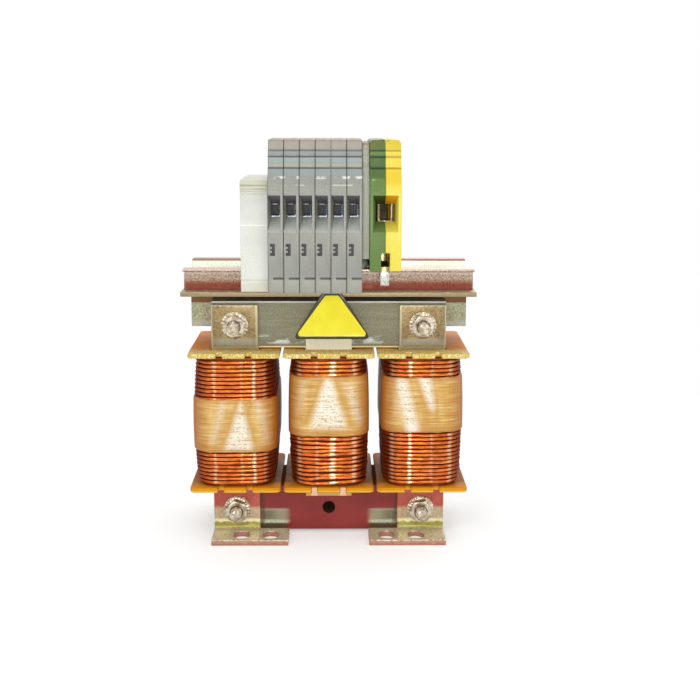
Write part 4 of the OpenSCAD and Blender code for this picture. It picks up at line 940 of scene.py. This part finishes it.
tapeLook = {"lift": 0.68, "thick": 0.28, "ridge": 0.008, "rows": 7, "fray": 0.3,
            "bands": {"left": (31.4, 49.8), "middle": (37.0, 57.7), "right": (38.4, 57.3)}}
parts = []
for side, (low, high) in tapeLook["bands"].items():
    rows = round((high - low) / coilLook["pitch"] * tapeLook["rows"])
    outer = []
    for k in range(rows + 1):
        z = low + (high - low) * k / rows
        rim = min(1, min(k, rows - k) / 2)
        ridge = tapeLook["ridge"] * math.cos(2 * math.pi * (z - coilLook["low"]) / coilLook["pitch"])
        loop = ovalLoop(side, tapeLook["lift"] + tapeLook["thick"] * rim + ridge, z)
        if k in (0, rows):
            loop = [(px, py, pz + tapeLook["fray"] * math.sin(px * 0.9 + py * 0.7) * math.sin(px * 0.31 + 2))
                    for px, py, pz in loop]
        outer.append(loop)
    parts.append(loftedBand("tape", outer, [ovalLoop(side, 0, low), ovalLoop(side, 0, high)]))
setPiece("winding_tapes_cloth", joinedMesh("tapes", parts), ["winding_tapes"], [glassTape], smooth=70)
print("coils wound")

# ---- bobbins, paper and sheet metal from the CAD nodes ----
softNodes = [("bobbin_" + side, "bobbin_amber", amberPlastic, 0.4, 3) for side in coilPlaces]
softNodes += [("foot_%s_%s" % (end, side), "zinc_sheet", footZinc, 0.3, 3)
              for end in ("front", "rear") for side in ("left", "right")]
softNodes += [
    ("pressboard_strip", "pressboard", pressPaper, 0.12, 2), ("air_gap_spacers", "pressboard", gapPaper, 0.1, 2),
    ("clamp_plates", "zinc_sheet", plateZinc, 0.3, 3), ("rail_carrier", "zinc_sheet", carrierZinc, 0.25, 3),
    ("top_hat_rail", "rail_steel", railZinc, 0.22, 3), ("rail_rivets", "fastener_steel", fastenerZinc, 0.25, 2),
    ("end_stop", "stop_white", whitePlastic, 0.25, 3), ("end_cover", "housing_grey", coverPlastic, 0.2, 2),
    ("earth_bar", "bar_copper", earthMetal, 0.15, 2), ("current_bars", "bar_copper", barMetal, 0.12, 2),
    ("lead_clamp_screws", "fastener_steel", brightSteel, 0.12, 2),
    ("lead_clamp_cages", "clamp_steel", blueSteel, 0.12, 2)]
for node, slotName, finish, width, segments in softNodes:
    dressNode(node, node + "_dressed", [finish], width, segments)
print("sheet metal and bobbins dressed")

# ---- terminals ----
phaseLook = {"low": 106.3, "high": 118.9}


def mouthZone(centre, normal):
    # the mouth's ceiling gets the dark recess plastic as painted shade and its sloping floor the lighter ramp plastic
    # as painted light, and vents, slots and clamp chambers get painted shade inside
    out, up = abs(centre.y), centre.z
    if 18 < out < 23.75 and (98.4 < up < 103.3 or 91.0 < up < 92.0):
        return 1
    if out < 20.3 and 100 < up < 122 and abs(normal.x) < 0.5:
        return 1
    if out < 16.9 or not phaseLook["low"] < up < phaseLook["high"]:
        return 0
    return 1 if normal.z < -0.3 else 2 if 0.3 < normal.z < 0.97 else 0


moving = [("earth_%s_%s" % (kind, end), finish, 0.15, "fastener_steel")
          for end in ("front", "rear") for kind, finish in (("screw", brightSteel), ("cage", earthSteel))]
for i in range(1, 7):
    node = "terminal_%d" % i
    dressNode(node, node + "_housing", [greyPlastic, recessShadePlastic, rampLitPlastic], 0.1, 2, mouthZone)
    moving += [("clamp_screw_%d" % i, brightSteel, 0.12, "fastener_steel"),
               ("clamp_cage_%d" % i, blueSteel, 0.12, "clamp_steel")]
for node, finish, width, slotName in moving:
    dressNode(node, node + "_dressed", [finish], width, 2, body=node)
for half, finish, recess in (("green", greenPlastic, greenRecessShade), ("yellow", yellowPlastic, yellowRecessShade)):
    node = "earth_terminal_" + half
    dressNode(node, node + "_housing", [finish, recess, finish], 0.2, 2, mouthZone)
print("terminals dressed")


# ---- label plate, left blank ----
def labelZone(centre, normal):
    return 1 if centre.y < -20.18 or abs(normal.y) < 0.5 else 0


dressNode("label_plate", "label_plate_blank", [labelYellow, labelRim], 0.05, 2, labelZone)

# ---- bolts, nuts and washers ----
boltLook = {"radius": 2.0, "pitch": 0.7, "depth": 0.38, "rowsPerTurn": 8, "sides": 28, "taper": 0.6,
            "spin": [12, 37, -8, 22]}
boltPlaces = [(-32, 9.0, 15.0, 15.0), (32, 9.0, 15.0, 15.0), (-32, 74.0, 15.0, 14.6), (32, 74.0, 15.0, 14.6)]
nutLook = {"across": 7.0, "height": 3.2, "bore": 2.05, "angles": 72}
headLook = {"across": 7.0, "height": 2.8, "angles": 72}
washerLook = {"radius": 4.7, "bore": 2.1, "thick": 0.8, "teeth": 22, "angles": 132}


def spunMesh(name, rings, angles, closed):
    # rings are functions of the angle that give radius and distance along the axis
    points, faces = [], []
    for ring in rings:
        for k in range(angles):
            a = 2 * math.pi * k / angles
            r, d = ring(a)
            points.append((r * math.cos(a), r * math.sin(a), d))
    last = len(rings) if closed else len(rings) - 1
    for i in range(last):
        j = (i + 1) % len(rings)
        faces += [[i * angles + k, i * angles + (k + 1) % angles, j * angles + (k + 1) % angles, j * angles + k]
                  for k in range(angles)]
    if not closed:
        faces.append(list(range(angles))[::-1])
        faces.append([(len(rings) - 1) * angles + k for k in range(angles)])
    return meshOf(name, points, faces)


def hexRadius(across):
    return lambda a: across / 2 / math.cos((a + math.pi / 6) % (math.pi / 3) - math.pi / 6)


def hexRings(across, height, bore):
    flat, round_ = hexRadius(across), across / 2 * 0.96
    slope = math.tan(math.radians(28))
    rings = [lambda a: (min(flat(a), across / 2 * 1.1), 0.0), lambda a: (flat(a), 0.25),
             lambda a: (flat(a), height - (flat(a) - round_) * slope), lambda a: (round_, height)]
    if bore:
        rings += [lambda a: (bore + 0.3, height), lambda a: (bore, height - 0.3), lambda a: (bore, 0.0)]
    return rings


def washerRings(look):
    wave = lambda a: 0.5 + 0.5 * math.cos(look["teeth"] * a)
    return [lambda a: (look["bore"], 0.0), lambda a: (look["radius"] - 0.1, 0.0),
            lambda a: (look["radius"] - 0.12 * wave(a), look["thick"] * (0.45 - 0.15 * wave(a))),
            lambda a: (look["radius"] - 0.8, look["thick"] * (1.0 - 0.3 * wave(a))),
            lambda a: (look["bore"] + 0.7, look["thick"]), lambda a: (look["bore"], look["thick"])]


def placedMesh(mesh, x, y, z, spin, direction):
    # turns a part that stands on its Z axis to point along Y
    turn = Matrix.Rotation(math.radians(90 if direction < 0 else -90), 4, "X")
    made = mesh.copy()
    made.transform(Matrix.Translation(Vector((x, y, z)) * mm) @ turn @ Matrix.Rotation(math.radians(spin), 4, "Z"))
    return made


nut = spunMesh("nut", hexRings(nutLook["across"], nutLook["height"], nutLook["bore"]), nutLook["angles"], True)
head = spunMesh("head", hexRings(headLook["across"], headLook["height"], 0), headLook["angles"], False)
washer = spunMesh("washer", washerRings(washerLook), washerLook["angles"], True)
for part in (nut, head, washer):
    shape = bmesh.new()
    shape.from_mesh(part)
    bmesh.ops.recalc_face_normals(shape, faces=shape.faces)
    shape.to_mesh(part)
    shape.free()
nuts, washers, heads = [], [], []
for (x, z, front, rear), spin in zip(boltPlaces, boltLook["spin"]):
    washers += [placedMesh(washer, x, -front, z, spin * 2, -1), placedMesh(washer, x, rear, z, spin, 1)]
    nuts.append(placedMesh(nut, x, -front - washerLook["thick"], z, spin, -1))
    heads.append(placedMesh(head, x, rear + washerLook["thick"], z, -spin, 1))
setPiece("tie_nuts_turned", joinedMesh("nuts", nuts), ["tie_nuts"], [fastenerZinc], smooth=28)
setPiece("tie_washers_toothed", joinedMesh("washers", washers), ["tie_washers"], [fastenerZinc],
         smooth=50)

# each bolt is one threaded rod, instanced on the places in the base mesh
boltTree, given = newTree("threadedRods", Geometry="places", Int="sides rows", Material="finish",
                          Float="radius pitch depth length taper")
rod = put("GeometryNodeMeshCylinder", {"Vertices": given["sides"], "Side Segments": given["rows"],
                                       "Radius": given["radius"], "Depth": given["length"]})
where = partsOf(put("GeometryNodeInputPosition"))
angle = over(calc("ARCTAN2", where[1], where[0]), 2 * math.pi)
phase = calc("FRACT", plus(minus(over(where[2], given["pitch"]), angle), 200.0))
tooth = absolute(minus(times(phase, 2.0), 1.0))
cut = over(times(tooth, given["depth"]), given["radius"])
endOff = minus(absolute(where[2]), minus(over(given["length"], 2.0), given["taper"]))
narrow = times(over(endOff, given["taper"], clamp=True), 0.22)
keep = minus(minus(1.0, cut), narrow)
shaped = wholeOf(times(where[0], keep), times(where[1], keep), where[2])
rod = put("GeometryNodeSetPosition", {"Geometry": rod.outputs["Mesh"], "Position": shaped})
copies = put("GeometryNodeInstanceOnPoints", {"Points": given["places"], "Instance": rod,
                                              "Rotation": (math.pi / 2, 0, 0)})
endTree(copies, given["finish"])
frontEnd, rearEnd = -23.6, 16.0
rods = grow("tieRods", boltTree, {
    **metres(boltLook, "radius", "pitch", "depth", "taper"), "length": (rearEnd - frontEnd) * mm,
    "sides": boltLook["sides"], "rows": int((rearEnd - frontEnd) / boltLook["pitch"] * boltLook["rowsPerTurn"]),
    "finish": fastenerZinc},
    meshOf("boltPlaces", [(x, (frontEnd + rearEnd) / 2, z) for x, z, front, rear in boltPlaces], []))
setPiece("tie_bolts_threaded", joinedMesh("bolts", [rods] + heads), ["tie_bolts"], [fastenerZinc],
         smooth=28)
print("bolts, nuts and washers made")

# ---- winding leads with their sleeves ----
leadLook = {"wire": 0.47, "sleeve": 0.82, "bend": 1.6, "back": 24.25, "outside": 25.2, "fillet": 2.6,
            "straight": 7.13, "bendY": 22.4, "sides": 12, "sleeveLow": 1.5, "sleeveHigh": 3.0, "low": 19.72,
            "high": 63.08, "startY": 21.53, "barZ": 115.05, "spreadLow": 69.0, "spreadHigh": 88.4,
            "firstClamp": -17.9, "clampPitch": 5.2, "endY": 11.6}


def leadRoute(i):
    side = -1 if i % 2 == 0 else 1
    x = (-32, 0, 32)[i // 2] + side * leadLook["straight"]
    z = leadLook["high"] if i % 2 == 0 else leadLook["low"]
    clamp = leadLook["firstClamp"] + i * leadLook["clampPitch"]
    out = x + side * 2 * leadLook["bend"]
    inZ = leadLook["barZ"] - leadLook["wire"] - 0.05
    return [(x, leadLook["startY"], z), (x + side * leadLook["bend"], leadLook["startY"], z),
            (out, leadLook["bendY"], z), (out, leadLook["back"], z), (out, leadLook["back"], leadLook["spreadLow"]),
            (clamp, leadLook["outside"], leadLook["spreadHigh"]), (clamp, leadLook["outside"], inZ),
            (clamp, leadLook["endY"], inZ)]


leadTree, given = newTree("windingLeads", Geometry="routes", Int="sides", Float="radius fillet", Material="finish")
routes = put("GeometryNodeMeshToCurve", {"Mesh": given["routes"]})
routes = put("GeometryNodeFilletCurve", {"Curve": routes, "Count": 8, "Radius": given["fillet"],
                                         "Limit Radius": True}, mode="POLY")
profile = put("GeometryNodeCurvePrimitiveCircle", {"Resolution": given["sides"], "Radius": given["radius"]})
tube = put("GeometryNodeCurveToMesh", {"Curve": routes, "Profile Curve": profile, "Fill Caps": True})
endTree(tube, given["finish"])


def routeMesh(name, routes):
    mesh = bpy.data.meshes.new(name)
    points, edges = [], []
    for route in routes:
        edges += [(len(points) + k, len(points) + k + 1) for k in range(len(route) - 1)]
        points += [Vector(p) * mm for p in route]
    mesh.from_pydata(points, edges, [])
    return mesh


leadRoutes = [leadRoute(i) for i in range(6)]
sleeveRoutes = [[(*r[3][:2], r[3][2] + leadLook["sleeveLow"]), *r[4:6], (*r[6][:2], r[6][2] - leadLook["sleeveHigh"])]
                for r in leadRoutes]


def leadTubes(kind, finish, routes):
    return grow(kind + "Tubes", leadTree, {
        "radius": leadLook[kind] * mm, "fillet": leadLook["fillet"] * mm, "sides": leadLook["sides"],
        "finish": finish}, routeMesh(kind + "Routes", routes))


setPiece("lead_wires_copper", leadTubes("wire", leadCopper, leadRoutes), ["lead_wires"],
         [leadCopper], smooth=60)
setPiece("lead_sleeves", leadTubes("sleeve", sleeveCloth, sleeveRoutes), [], [sleeveCloth], smooth=60)
print("leads laid")

# ---- camera, floor and light ----
cameraLook = {"lens": 64.7, "place": (1.377, -437.214, 144.972), "tilt": 10.663, "yaw": -0.799, "roll": 0.14}
cameraData = bpy.data.cameras.new("camera")
cameraData.lens = cameraLook["lens"]
cameraData.sensor_width = 36
cameraData.clip_start = 0.01
camera = bpy.data.objects.new("camera", cameraData)
scene.collection.objects.link(camera)
camera.matrix_world = (Matrix.Translation(Vector(cameraLook["place"]) * mm)
                       @ Matrix.Rotation(math.radians(cameraLook["yaw"]), 4, "Z")
                       @ Matrix.Rotation(math.radians(90 - cameraLook["tilt"]), 4, "X")
                       @ Matrix.Rotation(math.radians(cameraLook["roll"]), 4, "Z"))
scene.camera = camera

floorLook = {"size": 8.0, "drop": -2e-5, "colour": (0.78, 0.8, 0.81), "fill": 0.4, "near": 0.12, "far": 0.3}
floorFinish = bpy.data.materials.new("floor")
floorFinish.use_nodes = True
Board.tree = floorFinish.node_tree
Board.tree.nodes.clear()
direct = directRays()
where = put("ShaderNodeVectorMath", {0: put("ShaderNodeTexCoord").outputs["Object"]},
            operation="LENGTH").outputs["Value"]
far = stepped(where, floorLook["near"], floorLook["far"], smooth=True)
matt = put("ShaderNodeBsdfDiffuse", {"Color": (*floorLook["colour"], 1)})
fill = put("ShaderNodeEmission", {"Strength": times(direct, floorLook["fill"])})
white = put("ShaderNodeEmission", {"Strength": 1.0})
near = put("ShaderNodeAddShader", {0: matt, 1: fill})
blend = put("ShaderNodeMixShader", {0: times(far, direct), 1: near, 2: white})
put("ShaderNodeOutputMaterial", {"Surface": blend})
half = floorLook["size"] / 2
floorMesh = bpy.data.meshes.new("floor")
floorMesh.from_pydata([(x * half, y * half, floorLook["drop"]) for x, y in ((-1, -1), (1, -1), (1, 1), (-1, 1))],
                      [], [(0, 1, 2, 3)])
floorMesh.materials.append(floorFinish)
floor = bpy.data.objects.new("floor", floorMesh)
scene.collection.objects.link(floor)
floor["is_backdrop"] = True

lightLook = {"world": 0.47,
             "lamps": [("key", (-330, -620, 520), 0.42, 1.25), ("fill", (480, -520, 380), 0.6, 0.74),
                       ("top", (0, 150, 700), 0.6, 0.93), ("rear", (200, 700, 420), 0.7, 1.2),
                       ("front", (10, -640, 170), 0.06, 1.1)]}
world = bpy.data.worlds.new("studio")
scene.world = world
world.use_nodes = True
Board.tree = world.node_tree
background = Board.tree.nodes["Background"].inputs
background["Color"].default_value = (1, 1, 1, 1)
feed(background["Strength"], stepped(directRays(), 0.0, 1.0, lightLook["world"], 1.0))
for name, place, size, power in lightLook["lamps"]:
    data = bpy.data.lights.new(name, "AREA")
    data.shape = "DISK"
    data.size = size
    data.energy = power
    lamp = bpy.data.objects.new(name, data)
    lamp.location = Vector(place) * mm
    lamp.rotation_mode = "QUATERNION"
    lamp.rotation_quaternion = (Vector((0, 0, 0.065)) - lamp.location).to_track_quat("-Z", "Y")
    scene.collection.objects.link(lamp)
scene.view_settings.view_transform = "Standard"
print("camera, floor and light set")

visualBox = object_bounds()
visualSize, cadSize = [[round((b - a) / mm, 2) for a, b in zip(*box)] for box in (visualBox, cadBox)]
print("size", visualSize, "of", cadSize)
